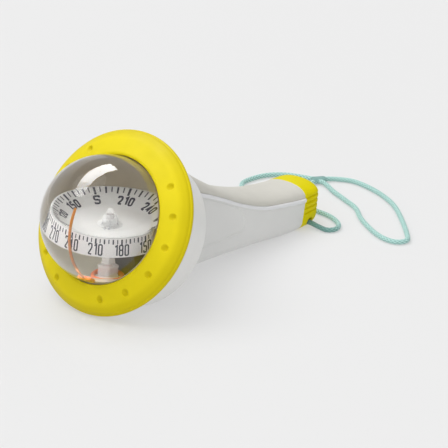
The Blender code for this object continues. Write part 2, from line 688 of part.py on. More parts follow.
knot_turn = rod_matrix(KNOT, Vector((0.35, 1.0, 0)))
lathe("lanyard_whipping", [
    (0, -4.2), (2.2, -4.2), (2.9, -3.4), (3.05, -1.6), (3.05, 1.6), (2.9, 3.4), (2.2, 4.2),
    (0, 4.2)], CORD, 16,
    knot_turn)
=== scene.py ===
"""Looks of the hand bearing compass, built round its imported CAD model.

Shapes are worked out in millimetres in the design frame, whose origin is the centre of the dome, and
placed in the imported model's frame, in metres.
"""

import json
import math

import bmesh
import bpy
import numpy as np
from mathutils import Matrix, Vector


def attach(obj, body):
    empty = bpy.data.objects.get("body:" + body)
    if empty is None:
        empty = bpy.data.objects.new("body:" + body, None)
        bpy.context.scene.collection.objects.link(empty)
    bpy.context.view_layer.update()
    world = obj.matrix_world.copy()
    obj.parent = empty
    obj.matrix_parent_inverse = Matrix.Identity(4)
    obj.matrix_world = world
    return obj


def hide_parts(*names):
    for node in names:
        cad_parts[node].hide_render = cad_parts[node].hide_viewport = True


MM = 0.001
MERGE = 0.001 * MM
CREASE = 38.0
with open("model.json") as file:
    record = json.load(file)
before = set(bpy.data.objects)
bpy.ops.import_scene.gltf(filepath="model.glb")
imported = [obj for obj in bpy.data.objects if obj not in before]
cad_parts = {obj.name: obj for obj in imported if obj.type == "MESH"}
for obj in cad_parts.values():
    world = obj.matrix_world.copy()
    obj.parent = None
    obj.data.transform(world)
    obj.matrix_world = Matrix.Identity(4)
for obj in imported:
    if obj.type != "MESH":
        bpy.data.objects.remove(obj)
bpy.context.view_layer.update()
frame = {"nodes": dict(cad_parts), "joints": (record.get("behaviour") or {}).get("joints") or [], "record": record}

# ---------------- driving dimensions, as in the CAD but for two

HEAD_TILT = math.radians(29.0)
DOME_R = 34.5
DOME_WALL = 2.5
BOWL_CENTRE_S = -6.0
BOWL_FLAT_S = -33.0
CUP_REAR_S = -37.2
CUP_REAR_R = 39.2
BUMPER_R = 50.5
DIMPLE_R = 42.4
PIVOT = Vector((0.0, 3.0, -0.3))
CARD_R = 22.8
SKIRT_R = 24.3
SKIRT_DROP = 9.9
LUBBER_R = 27.7
ARM_R = 29.2
WALL = 2.2
GRIP_END_Y = 150.0
CAP_START_Y = 150.3
HOLE_Y = 156.8
HOLE_Z = -46.1  # 0.9 lower than in the CAD, as the photo shows it
HOLE_R = 2.3
CORD_R = 1.5

HALF_WIDTH = ((15, 21.0), (45, 20.5), (73, 18.0), (94, 16.6), (115, 16.0), (149, 15.4), (170, 15.0))
PARTING = (
    (15, 12.0), (45, 6.5), (54, 3.6), (73, -5.0), (94, -15.6), (115, -23.6), (132, -27.0), (149, -29.6),
    (170, -31.0))
# The crown's rear is lower than in the CAD, as the photo shows it.
CROWN = (
    (15, 34.0), (51, 16.0), (60, 9.4), (68, 4.0), (77, -1.6), (90, -8.3), (112, -16.3), (130, -20.6),
    (150, -23.1), (160, -23.4), (170, -23.4))
UNDERSIDE = ((10, -37.2), (59, -40.8), (104, -45.3), (149, -49.6), (170, -49.6))

SWING = next(j for j in frame["joints"] if j["name"] == "gimbal_swing")
ORIGIN = Vector(SWING["pos_m"]) - PIVOT * MM
REST_Z = -ORIGIN.z / MM

AXIS = Vector((0.0, -math.cos(HEAD_TILT), math.sin(HEAD_TILT)))
UP = Vector((0.0, math.sin(HEAD_TILT), math.cos(HEAD_TILT)))
HEAD = Matrix(((1, 0, 0), (0, UP.y, AXIS.y), (0, UP.z, AXIS.z))).to_4x4()
AT_PIVOT = Matrix.Translation(PIVOT)
LEAN_AHEAD = math.radians(-1.0)
LEAN_ASIDE = math.radians(4.3)
CARD_RISE = 0.4
GIMBAL = AT_PIVOT @ Matrix.Rotation(LEAN_AHEAD, 4, "X") @ Matrix.Rotation(LEAN_ASIDE, 4, "Y")
CARD = Matrix.Translation(Vector((0.0, 0.0, CARD_RISE))) @ GIMBAL
DESIGN = Matrix.Identity(4)


def row_frame(points, matrix=DESIGN):
    """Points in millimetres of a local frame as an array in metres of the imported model's frame."""
    turn = np.array(matrix.to_3x3())
    in_design = np.asarray(points, float) @ turn.T + np.array(matrix.translation)
    return np.array(ORIGIN) + in_design * MM


def placed(name, data):
    """A new object in the scene."""
    made = bpy.data.objects.new(name, data)
    bpy.context.scene.collection.objects.link(made)
    return made


# ---------------- camera

AZIMUTH = math.radians(40.0)
ELEVATION = math.radians(22.0)
DISTANCE = 1.4
AIM = Vector((0.0485, -0.0263, 0.0473))
LENS = 213.84

camera = placed("camera", bpy.data.cameras.new("camera"))
camera.data.lens = LENS
camera.data.sensor_width = 36.0
camera.data.clip_end = 50.0
right = Vector((math.cos(AZIMUTH), math.sin(AZIMUTH), 0.0))
level_towards = Vector((math.sin(AZIMUTH), -math.cos(AZIMUTH), 0.0))
towards = Vector((
    math.sin(AZIMUTH) * math.cos(ELEVATION), -math.cos(AZIMUTH) * math.cos(ELEVATION), math.sin(ELEVATION)))
above = towards.cross(right)
camera.location = AIM + towards * DISTANCE
camera.rotation_euler = (math.radians(90.0) - ELEVATION, 0.0, AZIMUTH)
bpy.context.scene.camera = camera
bpy.context.scene.view_settings.view_transform = "Standard"

# ---------------- materials


class Look:
    """A material and a short way to add nodes to it."""

    def __init__(self, name):
        self.material = bpy.data.materials.new(name)
        self.material.use_nodes = True
        self.tree = self.material.node_tree
        self.shader = self.tree.nodes["Principled BSDF"]
        self.place = self.node("ShaderNodeTexCoord").outputs["Object"]

    def feed(self, socket, value):
        """Link a socket to another one, or set its own value. A colour gets its fourth number here."""
        if isinstance(value, bpy.types.NodeSocket):
            self.tree.links.new(value, socket)
        elif socket.type == "RGBA":
            socket.default_value = (*value, 1.0)
        else:
            socket.default_value = value

    def node(self, kind, inputs=None, **settings):
        """A new node with its inputs fed and its settings made."""
        made = self.tree.nodes.new(kind)
        for key, value in settings.items():
            setattr(made, key, value)
        for key, value in (inputs or {}).items():
            self.feed(made.inputs[key], value)
        return made

    def sockets(self, **values):
        for key, value in values.items():
            self.feed(self.shader.inputs[key.replace("_", " ").title().replace("Ior", "IOR")], value)

    def noise(self, size, detail=2.0, roughness=0.5):
        """Noise whose features are about size millimetres across, from 0 to 1."""
        made = self.node("ShaderNodeTexNoise", {
            "Vector": self.place, "Scale": 1.0 / (size * MM), "Detail": detail, "Roughness": roughness})
        return made.outputs["Fac"]

    def attribute(self, name):
        return self.node("ShaderNodeAttribute", attribute_name=name).outputs["Fac"]

    def risen(self, low, high):
        """0 below a height and 1 above another, in millimetres of the design frame."""
        height = self.node("ShaderNodeSeparateXYZ", {"Vector": self.place}).outputs["Z"]
        return self.spread(height, 0.0, 1.0, ORIGIN.z + low * MM, ORIGIN.z + high * MM)

    def spread(self, value, low, high, start=0.3, stop=0.7):
        """From low, where value is at start, to high, where it is at stop."""
        return self.node("ShaderNodeMapRange", {
            "Value": value, "From Min": start, "From Max": stop, "To Min": low, "To Max": high,
        }).outputs["Result"]

    def mixed(self, share, one, two):
        """The first colour, going over to the second as share rises to 1."""
        return self.node("ShaderNodeMix", {0: share, 6: one, 7: two}, data_type="RGBA").outputs[2]

    def relief(self, height, depth):
        """Bumps that stand depth millimetres high."""
        inputs = {"Height": height, "Strength": 1.0, "Distance": depth * MM}
        return self.node("ShaderNodeBump", inputs).outputs["Normal"]


def shaded(colour, share):
    """The colour made darker or lighter by a factor."""
    return tuple(min(1.0, c * share) for c in colour)


def moulded(name, colour, rough, vary, patch, grain, depth, painted_light=None, **sockets):
    """A moulded surface: colour and gloss drift a little from place to place, over a fine grain.

    patch, grain and depth are in millimetres. The optional second colour goes where the mesh's own mark is 1:
    painted shade where it is darker, painted light where it is lighter.
    """
    look = Look(name)
    drift = look.noise(patch, 3.0)
    base = look.mixed(look.spread(drift, 0.0, 1.0), shaded(colour, 1 - vary), shaded(colour, 1 + vary))
    # Painted light: the second colour is painted shade on the bumper, a painted highlight on the grip's bead, and
    # painted light on the card's skirt.
    if painted_light:
        base = look.mixed(look.attribute("painted_light"), base, painted_light)
    look.sockets(
        base_color=base,
        roughness=look.spread(look.noise(patch * 0.4, 2.0), rough - 0.05, rough + 0.06),
        normal=look.relief(look.noise(grain, 3.0, 0.6), depth), **sockets)
    return look.material


# Its second colour is painted shade for the bumper's foot, outer edge, right side and dimples.
YELLOW = moulded("yellow_rubber", (0.74, 0.61, 0.01), 0.5, 0.05, 18.0, 0.5, 0.016, painted_light=(0.52, 0.42, 0.0),
                 specular_ior_level=0.1)
YELLOW_HARD = moulded("yellow_plastic", (0.69, 0.60, 0.0), 0.5, 0.04, 12.0, 0.6, 0.008,
                      specular_ior_level=0.08)
# Its second colour, a little paler, is a painted highlight along the grip's parting bead.
GREY = moulded("grey_plastic", (0.70, 0.70, 0.685), 0.42, 0.02, 22.0, 0.4, 0.010, painted_light=(0.75, 0.75, 0.765))
GREY_CUP = moulded("grey_cup", (0.79, 0.785, 0.765), 0.36, 0.02, 20.0, 0.5, 0.006)
GREY_WARM = moulded("warm_grey_plastic", (0.60, 0.585, 0.53), 0.55, 0.025, 16.0, 0.3, 0.018)
# Painted light: the top's colour is much darker than the skirt's second colour, though the card is one white.
WHITE = moulded("card_white", (0.60, 0.595, 0.57), 0.45, 0.02, 8.0, 0.3, 0.004, painted_light=(0.90, 0.865, 0.84))
INK = moulded("dial_ink", (0.020, 0.018, 0.032), 0.4, 0.3, 1.5, 0.2, 0.004)
BLACK = moulded("black_rubber", (0.025, 0.025, 0.025), 0.6, 0.2, 3.0, 0.2, 0.01)
DARK = moulded("dark_olive", (0.055, 0.050, 0.030), 0.45, 0.2, 3.0, 0.3, 0.01)
STEEL = moulded("steel", (0.58, 0.58, 0.59), 0.28, 0.06, 1.5, 0.15, 0.003, metallic=1.0)
BRASS = moulded("brass", (0.70, 0.50, 0.22), 0.3, 0.08, 2.0, 0.2, 0.003, metallic=1.0)
BOARD = moulded("board_green", (0.03, 0.20, 0.07), 0.4, 0.15, 2.0, 0.3, 0.006)
CAN = moulded("cell_sleeve", (0.09, 0.10, 0.12), 0.3, 0.15, 6.0, 0.3, 0.003)
ORANGE = moulded("orange_plastic", (0.84, 0.20, 0.045), 0.35, 0.1, 5.0, 0.4, 0.006)
JEWEL = moulded("jewel", (0.62, 0.57, 0.54), 0.06, 0.1, 1.0, 0.2, 0.001, transmission_weight=0.6)


ACRYLIC_IOR = 1.49


def clear(name, ior, rough, tint=(1.0, 1.0, 1.0), coat=0.0, cloudy=0.0, mirror=0.5, ripple=0.0, glow=0.0):
    """Clear plastic or liquid. ior is the one against what lies around it."""
    look = Look(name)
    streaks = look.noise(6.0, 2.0)
    look.sockets(
        base_color=look.mixed(look.spread(streaks, 0.0, 1.0), tint, shaded(tint, 0.985)),
        transmission_weight=1.0 - cloudy, ior=ior, roughness=rough, specular_ior_level=mirror,
        coat_weight=coat, coat_roughness=0.0, coat_ior=ACRYLIC_IOR, emission_strength=glow)
    if ripple:
        look.sockets(normal=look.relief(look.noise(1.3, 3.0), ripple))
    return look.material


DOME_OUT = clear("dome_outside", 1.012, 0.0, coat=1.0)
DOME_IN = clear("dome_inside", 1.012, 0.0, mirror=0.0)
FLUID = clear("damping_fluid", 1.33, 0.0, (0.985, 0.985, 0.99), mirror=0.0)
# The cap's faint glow is painted light.
CLEAR_CAP = clear("clear_cap", 1.03, 0.0, (1.0, 1.0, 0.985), cloudy=0.18, ripple=0.4, glow=0.05)
CLEAR_ARM = clear("clear_arm", 1.04, 0.05, (0.93, 0.95, 0.96), cloudy=0.12)
CLEAR_BLOCK = clear("clear_block", 1.08, 0.04, (1.0, 0.99, 0.97), cloudy=0.34, ripple=0.4)
FROSTED = clear("frosted_base", 1.06, 0.25, (1.0, 0.86, 0.82), cloudy=0.7, ripple=0.3)


def bowl_look():
    """Taupe above, painted much paler in its lower half: painted light where the card shades the bowl."""
    look = Look("taupe_plastic")
    drift = look.spread(look.noise(12.0, 3.0), 0.0, 0.25)
    # Painted light: the lower half is painted pale, where the card's shade falls.
    colour = look.mixed(look.risen(-16.0, 4.0), (0.99, 0.96, 0.80), (0.48, 0.37, 0.21))
    look.sockets(
        base_color=look.mixed(drift, colour, (0.58, 0.50, 0.36)), roughness=0.5,
        normal=look.relief(look.noise(0.6, 2.0), 0.02))
    return look.material


TAUPE = bowl_look()


def lubber_look():
    """Translucent orange, denser towards the upper end."""
    look = Look("lubber_orange")
    share = look.risen(PIVOT.z - 24.0, PIVOT.z + 6.0)
    colour = look.mixed(share, (0.80, 0.36, 0.17), (0.62, 0.22, 0.010))
    colour = look.mixed(look.spread(look.noise(3.0), 0.0, 0.12), colour, (0.95, 0.45, 0.2))
    look.sockets(base_color=colour, roughness=0.32, subsurface_weight=0.35)
    look.shader.inputs["Subsurface Radius"].default_value = (1.0, 0.35, 0.12)
    look.shader.inputs["Subsurface Scale"].default_value = 0.8 * MM
    return look.material


LUBBER = lubber_look()


def cord_look():
    """Braided turquoise cord: the grooves between the strands are painted much darker than the strands, as painted
    shade over the braid's relief, and the stretch by the near mouth is painted shade.
    """
    look = Look("turquoise_cord")
    fibre = look.noise(0.16, 3.0, 0.7)
    strand = look.spread(look.attribute("braid"), 0.0, 1.0, 0.15, 0.9)
    painted_shade = look.spread(look.attribute("painted_shade"), 0.0, 0.72, 0.0, 1.0)
    # Painted shade: the grooves between the strands take the dark colour.
    colour = look.mixed(strand, (0.07, 0.225, 0.205), (0.47, 0.76, 0.70))
    colour = look.mixed(look.spread(fibre, 0.0, 0.35), colour, (0.62, 0.84, 0.80))
    # Painted shade: the stretch by the near mouth is painted dark.
    colour = look.mixed(painted_shade, colour, (0.05, 0.17, 0.15))
    look.sockets(
        base_color=colour, roughness=look.spread(fibre, 0.62, 0.85), sheen_weight=0.25,
        normal=look.relief(fibre, 0.05))
    return look.material


CORD = cord_look()

# ---------------- mesh helpers


def cleaned(mesh):
    """Merge the mesh's doubled points and turn its faces outward."""
    work = bmesh.new()
    work.from_mesh(mesh)
    bmesh.ops.remove_doubles(work, verts=work.verts, dist=MERGE)
    bmesh.ops.recalc_face_normals(work, faces=work.faces)
    work.to_mesh(mesh)
    work.free()


def piece(name, shape, look, body="housing", replaces=(), matrix=DESIGN, crease=CREASE, more=None):
    """A finished mesh piece that rides on a body. more holds further materials and each face's index."""
    mesh = bpy.data.meshes.new(name)
    mesh.from_pydata(row_frame(shape[0], matrix).tolist(), [], shape[1])
    mesh.materials.append(look)
    if more:
        for extra in more[0]:
            mesh.materials.append(extra)
        mesh.polygons.foreach_set("material_index", np.asarray(more[1], np.int32))
    cleaned(mesh)
    mesh.shade_smooth()
    mesh.set_sharp_from_angle(angle=math.radians(crease))
    made = placed(name, mesh)
    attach(made, body)
    if replaces:
        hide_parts(*replaces)
    return made


def mark(made, name, values):
    """Give each point of a piece a value that its look reads by name."""
    held = made.data.attributes.new(name, "FLOAT", "POINT")
    held.data.foreach_set("value", np.asarray(values, dtype=np.float32))


def sheet_faces(rows, columns, close_rows=False):
    """Quads between loops of points stored row by row. close_rows joins the last row to the first."""
    i, j = np.meshgrid(np.arange(rows if close_rows else rows - 1), np.arange(columns), indexing="ij")
    down, beside = (i + 1) % rows, (j + 1) % columns
    corners = (i * columns + j, i * columns + beside, down * columns + beside, down * columns + j)
    return np.stack([c.ravel() for c in corners], axis=1).tolist()


def tube_faces(rows, columns):
    """Quads between closed loops stored row by row, and one face over each end."""
    last = (rows - 1) * columns
    ends = [list(range(columns)), [last + i for i in range(columns)][::-1]]
    return sheet_faces(rows, columns) + ends


def filleted(points, radius, closed=True, steps=5):
    """A polyline with its corners rounded. radius is one number or one for each point."""
    count = len(points)
    radii = [radius] * count if np.isscalar(radius) else list(radius)
    out = []
    for k in range(count):
        here = Vector(points[k])
        if radii[k] <= 0 or (not closed and k in (0, count - 1)):
            out.append(tuple(here))
            continue
        back = Vector(points[k - 1]) - here
        ahead = Vector(points[(k + 1) % count]) - here
        reach = min(radii[k], back.length * 0.48, ahead.length * 0.48)
        one, two = here + back.normalized() * reach, here + ahead.normalized() * reach
        for i in range(steps + 1):
            t = i / steps
            out.append(tuple(one * (1 - t) ** 2 + here * (2 * t * (1 - t)) + two * t * t))
    return out


def subdivided(points, spacing, closed=True):
    """The same polyline with no step longer than spacing."""
    out = []
    count = len(points)
    for k in range(count if closed else count - 1):
        one, two = np.array(points[k]), np.array(points[(k + 1) % count])
        steps = max(1, int(math.ceil(np.linalg.norm(two - one) / spacing)))
        out += [tuple(one + (two - one) * i / steps) for i in range(steps)]
    if not closed:
        out.append(tuple(points[-1]))
    return out


def turned(profile, angles, closed=True):
    """A profile (r, s) turned about z, as points and faces. angles is a list, or how many even ones."""
    turn = np.linspace(0, 2 * math.pi, angles, endpoint=False) if np.isscalar(angles) else np.asarray(angles)
    rs = np.asarray(profile, float)
    r, along_z = rs[:, 0, None], np.repeat(rs[:, 1, None], len(turn), 1)
    points = np.stack([r * np.cos(turn), r * np.sin(turn), along_z], axis=2)
    return points.reshape(-1, 3), sheet_faces(len(rs), len(turn), closed)


def spun(profile, radii, angles, closed=False):
    """A profile with rounded corners, turned about z."""
    return turned(filleted(profile, radii, closed), angles, closed)


def joined(meshes):
    """Several meshes as one."""
    points, faces = [], []
    for some_points, some_faces in meshes:
        base = len(points)
        points += [tuple(p) for p in some_points]
        faces += [[v + base for v in face] for face in some_faces]
    return points, faces


def moved(mesh, matrix):
    """A mesh in another place."""
    points, faces = mesh
    turn = np.array(matrix.to_3x3())
    return np.asarray(points, float) @ turn.T + np.array(matrix.translation), faces


def rod_matrix(start, direction):
    """Frame with z along direction, standing at start."""
    turn = Vector((0, 0, 1)).rotation_difference(Vector(direction).normalized())
    return Matrix.Translation(Vector(start)) @ turn.to_matrix().to_4x4()


def bore(start, direction, radii, length, angles=48):
    """A round cutter from start along direction, with the radius of each end."""
    profile = [(0, 0), (radii[0], 0), (radii[1], length), (0, length)]
    return moved(turned(profile, angles, closed=False), rod_matrix(start, direction))


def cut(target, meshes):
    """Takes closed meshes in the design frame out of a piece."""
    for points, faces in meshes:
        mesh = bpy.data.meshes.new("cutter")
        mesh.from_pydata(row_frame(points).tolist(), [], faces)
        cleaned(mesh)
        tool = placed("cutter", mesh)
        step = target.modifiers.new("cut", "BOOLEAN")
        step.operation = "DIFFERENCE"
        step.object = tool
        bpy.context.view_layer.update()
        graph = bpy.context.evaluated_depsgraph_get()
        target_mesh = bpy.data.meshes.new_from_object(target.evaluated_get(graph))
        target.modifiers.clear()
        target.data = target_mesh
        bpy.data.objects.remove(tool, do_unlink=True)
    target.data.shade_smooth()
    target.data.set_sharp_from_angle(angle=math.radians(CREASE))


def ease(value, start, stop):
    """0 before start, 1 after stop, smooth between."""
    t = np.clip((np.asarray(value, float) - start) / (stop - start), 0.0, 1.0)
    return t * t * (3 - 2 * t)


def smooth(table, y):
    """A smooth curve through given (y, value) points: monotone cubic between them."""
    ys = np.array([p[0] for p in table], float)
    vs = np.array([p[1] for p in table], float)
    slopes = np.diff(vs) / np.diff(ys)
    m = np.empty(len(ys))
    m[0], m[-1] = slopes[0], slopes[-1]
    for k in range(1, len(ys) - 1):
        a, b = slopes[k - 1], slopes[k]
        m[k] = 0.0 if a * b <= 0 else 2 * a * b / (a + b)
    y = min(max(y, ys[0]), ys[-1])
    k = min(int(np.searchsorted(ys, y, side="right")) - 1, len(ys) - 2)
    h = ys[k + 1] - ys[k]
    t = (y - ys[k]) / h
    return float(
        vs[k] * (1 + 2 * t) * (1 - t) ** 2
        + m[k] * h * t * (1 - t) ** 2
        + vs[k + 1] * t * t * (3 - 2 * t)
        + m[k + 1] * h * t * t * (t - 1)
    )


def arc(cx, cz, r, a0, a1, steps):
    """Points on a circle, from a0 to a1 degrees."""
    turn = np.radians(np.linspace(a0, a1, steps + 1))
    return [(cx + r * math.cos(a), cz + r * math.sin(a)) for a in turn]


def sphere_line(radius, start, stop, count, centre=0.0, facing=1):
    """Points (r, s) on a sphere, from start to stop radians off the axis on the side it faces."""
    turn = np.linspace(start, stop, count)
    return [(radius * math.sin(a), centre + facing * radius * math.cos(a)) for a in turn]


# ---------------- cord, one length through the hole and back

TABLE = REST_Z + CORD_R + 0.05
# Chosen one by one: x, y and the height above the table, from one mouth of the hole round to the other.
ON_TABLE = [
    (20, 156.6, 0.7), (26.0, 156.9, 0), (29.2, 160.3, 0), (28.2, 165.3, 0), (23.2, 170.3, 0), (14, 174.6, 0),
    (2, 176.0, 0), (-14, 176.2, 0), (-32, 174.6, 0), (-48, 174.6, 0), (-57, 182, 0), (-58, 192, 0),
    (-54.5, 203, 0), (-46, 210.6, 0), (-36, 213.6, 0.1), (-30.4, 214.6, 0.3), (-26.2, 216.8, 0.4),
    (-22.4, 221.0, 0.2), (-18, 224.6, 0), (-9, 227.6, 0), (4, 225.6, 0), (19, 220, 0), (34, 211, 0),
    (51, 195.6, 0), (66, 180.0, 0), (70.4, 173.4, 0), (67.6, 168.0, 0), (59.6, 167.4, 0), (47.6, 172.2, 0),
    (31, 183, 0), (18.6, 194, 0), (5.6, 200.6, 0), (-7.5, 206.8, 0), (-15.6, 211.4, 0.2),
    (-20.6, 213.6, 0.5), (-24.0, 213.0, 0.5), (-26.2, 209.0, 0.3), (-27.0, 203.0, 0), (-27.2, 194.0, 0),
    (-27.4, 184.0, 1.4), (-27.6, 176.0, 3.4), (-27.5, 168.0, 1.6), (-26.2, 163.0, 0), (-21, 158.6, 0.9)]
CORD_ROUTE = (
    [(0.3, HOLE_Y, HOLE_Z), (8, HOLE_Y, HOLE_Z - 0.35), (15, HOLE_Y + 0.1, HOLE_Z - 0.6)]
    + [(x, y, TABLE + lift) for x, y, lift in ON_TABLE]
    + [(-15, HOLE_Y + 0.4, HOLE_Z - 0.6), (-8, HOLE_Y, HOLE_Z), (-0.3, HOLE_Y, HOLE_Z)])
# The first stretch of cord from the near mouth is painted dark, as painted shade.
PAINTED_SHADE_FROM, PAINTED_SHADE_TO = 24.0, 40.0
BRAID_STRANDS = 5
BRAID_PITCH = 2.3
BRAID_DEPTH = 0.32
CORD_SIDES = 30
CORD_STEP = 0.27


def along(route, spacing):
    """Evenly spaced points on a smooth curve through the route's points."""
    pts = np.array(route, float)
    ends = np.vstack([2 * pts[0] - pts[1], pts, 2 * pts[-1] - pts[-2]])
    t = np.linspace(0, 1, 40, endpoint=False)[:, None]
    fine = []
    for k in range(1, len(ends) - 2):
        a, b, c, d = ends[k - 1], ends[k], ends[k + 1], ends[k + 2]
        fine.append(0.5 * (2 * b + (c - a) * t + (2 * a - 5 * b + 4 * c - d) * t ** 2
                           + (3 * b - a - 3 * c + d) * t ** 3))
    line = np.vstack(fine + [pts[-1:]])
    lengths = np.concatenate([[0], np.cumsum(np.linalg.norm(np.diff(line, axis=0), axis=1))])
    count = int(round(lengths[-1] / spacing))
    want = np.linspace(0, lengths[-1], count + 1)
    spaced = np.stack([np.interp(want, lengths, line[:, i]) for i in range(3)], axis=1)
    return spaced, lengths[-1]


def tube_frames(line):
    """Two unit vectors across the line at each of its points, turning with it as little as possible."""
    ahead = np.gradient(line, axis=0)
    ahead /= np.linalg.norm(ahead, axis=1)[:, None]
    side = np.cross(ahead[0], (0.0, 0.0, 1.0))
    side /= np.linalg.norm(side)
    sides = []
    for direction in ahead:
        side = side - direction * side.dot(direction)
        side /= np.linalg.norm(side)
        sides.append(side)
    sides = np.array(sides)
    return sides, np.cross(ahead, sides)


def braided_cord():
    """One tube along the whole route, with strands that cross over and under each other."""
    line, length = along(CORD_ROUTE, CORD_STEP)
    sides, ups = tube_frames(line)
    turn = np.linspace(0, 2 * math.pi, CORD_SIDES, endpoint=False)[None, :]
    run = (np.arange(len(line)) * CORD_STEP * 2 * math.pi / BRAID_PITCH)[:, None]
    one, two = BRAID_STRANDS * turn + run, BRAID_STRANDS * turn - run
    over = 0.74 + 0.26 * np.cos((one - two) / 2)
    height = np.maximum(np.cos(one) * over, np.cos(two) * (1.48 - over))
    height = (np.clip(height, -0.4, 1.0) + 0.4) / 1.4
    radius = CORD_R - BRAID_DEPTH * (1 - height)
    points = (
        line[:, None, :] + sides[:, None, :] * (radius * np.cos(turn))[:, :, None]
        + ups[:, None, :] * (radius * np.sin(turn))[:, :, None])
    shape = points.reshape(-1, 3), tube_faces(len(line), CORD_SIDES)
    made = piece("lanyard_cord", shape, CORD, "end_cap",
                 ("lanyard_near", "lanyard_far", "lanyard_loop"), crease=80.0)
    mark(made, "braid", height.ravel())
    # Painted shade on the stretch nearest the near mouth, fading out along the cord.
    run_mm = np.repeat(np.arange(len(line)) * CORD_STEP, CORD_SIDES)
    mark(made, "painted_shade", 1 - ease(run_mm, PAINTED_SHADE_FROM, PAINTED_SHADE_TO))
    return made, line, length


def whipping():
    """Thread wound in turns round both strands where they are joined."""
    turns, half_length, flat, thick, thread = 9, 4.2, 3.35, 1.95, 0.5
    rows, columns = 120, 64
    s = np.linspace(-1, 1, rows)[:, None]
    a = np.linspace(0, 2 * math.pi, columns, endpoint=False)[None, :]
    swell = 0.25 * thread * np.abs(np.cos(s * turns * math.pi / 2 + a / 2))
    taper = 1 - 0.28 * ease(np.abs(s), 0.8, 1.0)
    x = (flat * taper + swell) * np.cos(a)
    y = (thick * taper + swell) * np.sin(a)
    z = half_length * s + 0 * a
    shape = np.stack([x, y, z], axis=2).reshape(-1, 3), tube_faces(rows, columns)
    run = Vector((0.62, 0.78, 0.0)).normalized()
    across = Vector((run.y, -run.x, 0.0))
    place = Matrix(((across.x, 0, run.x), (across.y, 0, run.y), (across.z, 1, run.z))).to_4x4()
    place.translation = Vector((-25.1, 214.9, TABLE + 0.55))
    return piece("lanyard_binding", shape, CORD, "end_cap", ("lanyard_whipping",), place, 60.0)


cord, cord_line, cord_length = braided_cord()
binding = whipping()

# ---------------- bumper ring with its dimples

DIMPLE_STEP = 22.5
DIMPLE_ANGLES = [51.4 + DIMPLE_STEP * k for k in range(6)] + [208.9 + DIMPLE_STEP * k for k in range(6)]
DIMPLE_RADIUS = 2.0
DIMPLE_DEPTH = 1.5


def dimple_columns():
    """Angles round the head, closer together across each dimple. Zero is to the right, and top is 90."""
    spots = sorted((90.0 - a) % 360.0 for a in DIMPLE_ANGLES)
    span = math.degrees(DIMPLE_RADIUS / DIMPLE_R) * 1.1
    fine = [s + span * k / 11 for s in spots for k in range(-11, 12)]
    coarse = [
        a for a in np.arange(0, 360, 1.5)
        if min(abs((a - s + 180) % 360 - 180) for s in spots) > span + 0.5]
    return np.radians(np.array(sorted(a % 360.0 for a in fine + coarse))), np.radians(spots)


def bumper():
    """The ring round the dome. Its second colour is painted shade on its foot, its outer edge, its right side and
    in its dimples.
    """
    profile = [
        (34.95, -0.05), (36.3, 0.35), (45.8, -2.85), (49.3, -6.0), (49.75, -7.3), (50.35, -7.7),
        (BUMPER_R, -8.6), (50.3, -9.5), (49.0, -10.1), (48.0, -12.4), (47.0, -13.1), (46.3, -12.8),
        (46.3, -6.4), (43.4, -4.6), (36.6, -2.2), (34.95, -1.8)]
    radii = [0.5, 0.9, 4.0, 2.0, 0.5, 0.25, 0.5, 0.4, 0.4, 0.4, 0.3, 0.2, 0.4, 0, 0.3, 0.3]
    outline = filleted(profile, radii, steps=6)
    dense = []
    for k, here in enumerate(outline):
        after = outline[(k + 1) % len(outline)]
        dimpled = min(here[1], after[1]) > -3.6 and after[0] - here[0] > 2.0
        steps = 44 if dimpled else 1
        stride = np.array(after) - np.array(here)
        dense += [here] + [tuple(np.array(here) + stride * i / steps) for i in range(1, steps)]
    columns, spots = dimple_columns()
    points, faces = turned(dense, columns)
    on_front = points[:, 2] > -4.0
    hollow = np.zeros(len(points))
    for a in spots:
        centre = np.array((DIMPLE_R * math.cos(a), DIMPLE_R * math.sin(a)))
        away = np.linalg.norm(points[:, :2] - centre, axis=1)
        near = on_front & (away < DIMPLE_RADIUS)
        hollow[near] = 1 - (away[near] / DIMPLE_RADIUS) ** 2
    points[:, 2] -= DIMPLE_DEPTH * hollow ** 1.1
    made = piece("bumper", (points, faces), YELLOW, replaces=("bezel_bumper",), matrix=HEAD)
    # Painted shade: darker towards the ring's bottom, its outer edge and its right side, and in each dimple.
    low = 1 - ease((points[:, 1] + 50.0) / 100.0, 0.0, 0.6)
    rim = ease(np.hypot(points[:, 0], points[:, 1]), 44.5, 48.5)
    right_side_shade = ease(points[:, 0], 18.0, 60.0)
    edge = right_side_shade * 0.15 + rim * 0.4
    mark(made, "painted_light", np.clip(low * 0.36 + edge + 0.6 * hollow ** 0.6, 0, 1))


bumper()

# ---------------- dome, liquid, bowl and cup

HEAD_COLUMNS = 200
FLANGE_R = 38.5


def dome():
    """A clear shell on a flange. Only its outside is glossy, and its flange takes the bowl's look."""
    inner = DOME_R - DOME_WALL
    outside = sphere_line(DOME_R, 0, math.pi / 2, 64)
    flange = [(DOME_R, -4.6), (FLANGE_R, -4.6), (FLANGE_R, -6.6), (inner, -6.6)]
    outline = outside + flange + sphere_line(inner, math.pi / 2, 0, 60)
    points, faces = turned(outline, HEAD_COLUMNS, closed=False)
    rim, inside = len(outside) - 1, len(outside) + 3
    rows = [k // HEAD_COLUMNS for k in range(len(faces))]
    index = [1 if row >= inside else 2 if rim <= row < inside - 1 else 0 for row in rows]
    piece("dome_shell", (points, faces), DOME_OUT, replaces=("dome",), matrix=HEAD,
          more=([DOME_IN, TAUPE], index))


def liquid():
    """The liquid reaches a little into the walls round it, so that no air shows between them."""
    front = DOME_R - 0.2
    back = DOME_R - DOME_WALL + 0.9
    outline = sphere_line(front, 0, math.pi / 2, 72) + [(front, -6.8), (back, -7.2)]
    end = math.acos((-BOWL_FLAT_S + BOWL_CENTRE_S + 0.9) / back)
    outline += sphere_line(back, math.radians(85.0), end, 24, BOWL_CENTRE_S, -1)
    outline += [(0.0, BOWL_FLAT_S - 0.9)]
    shape = turned(outline, HEAD_COLUMNS, closed=False)
    piece("damping_liquid", shape, FLUID, matrix=HEAD)


dome()
liquid()


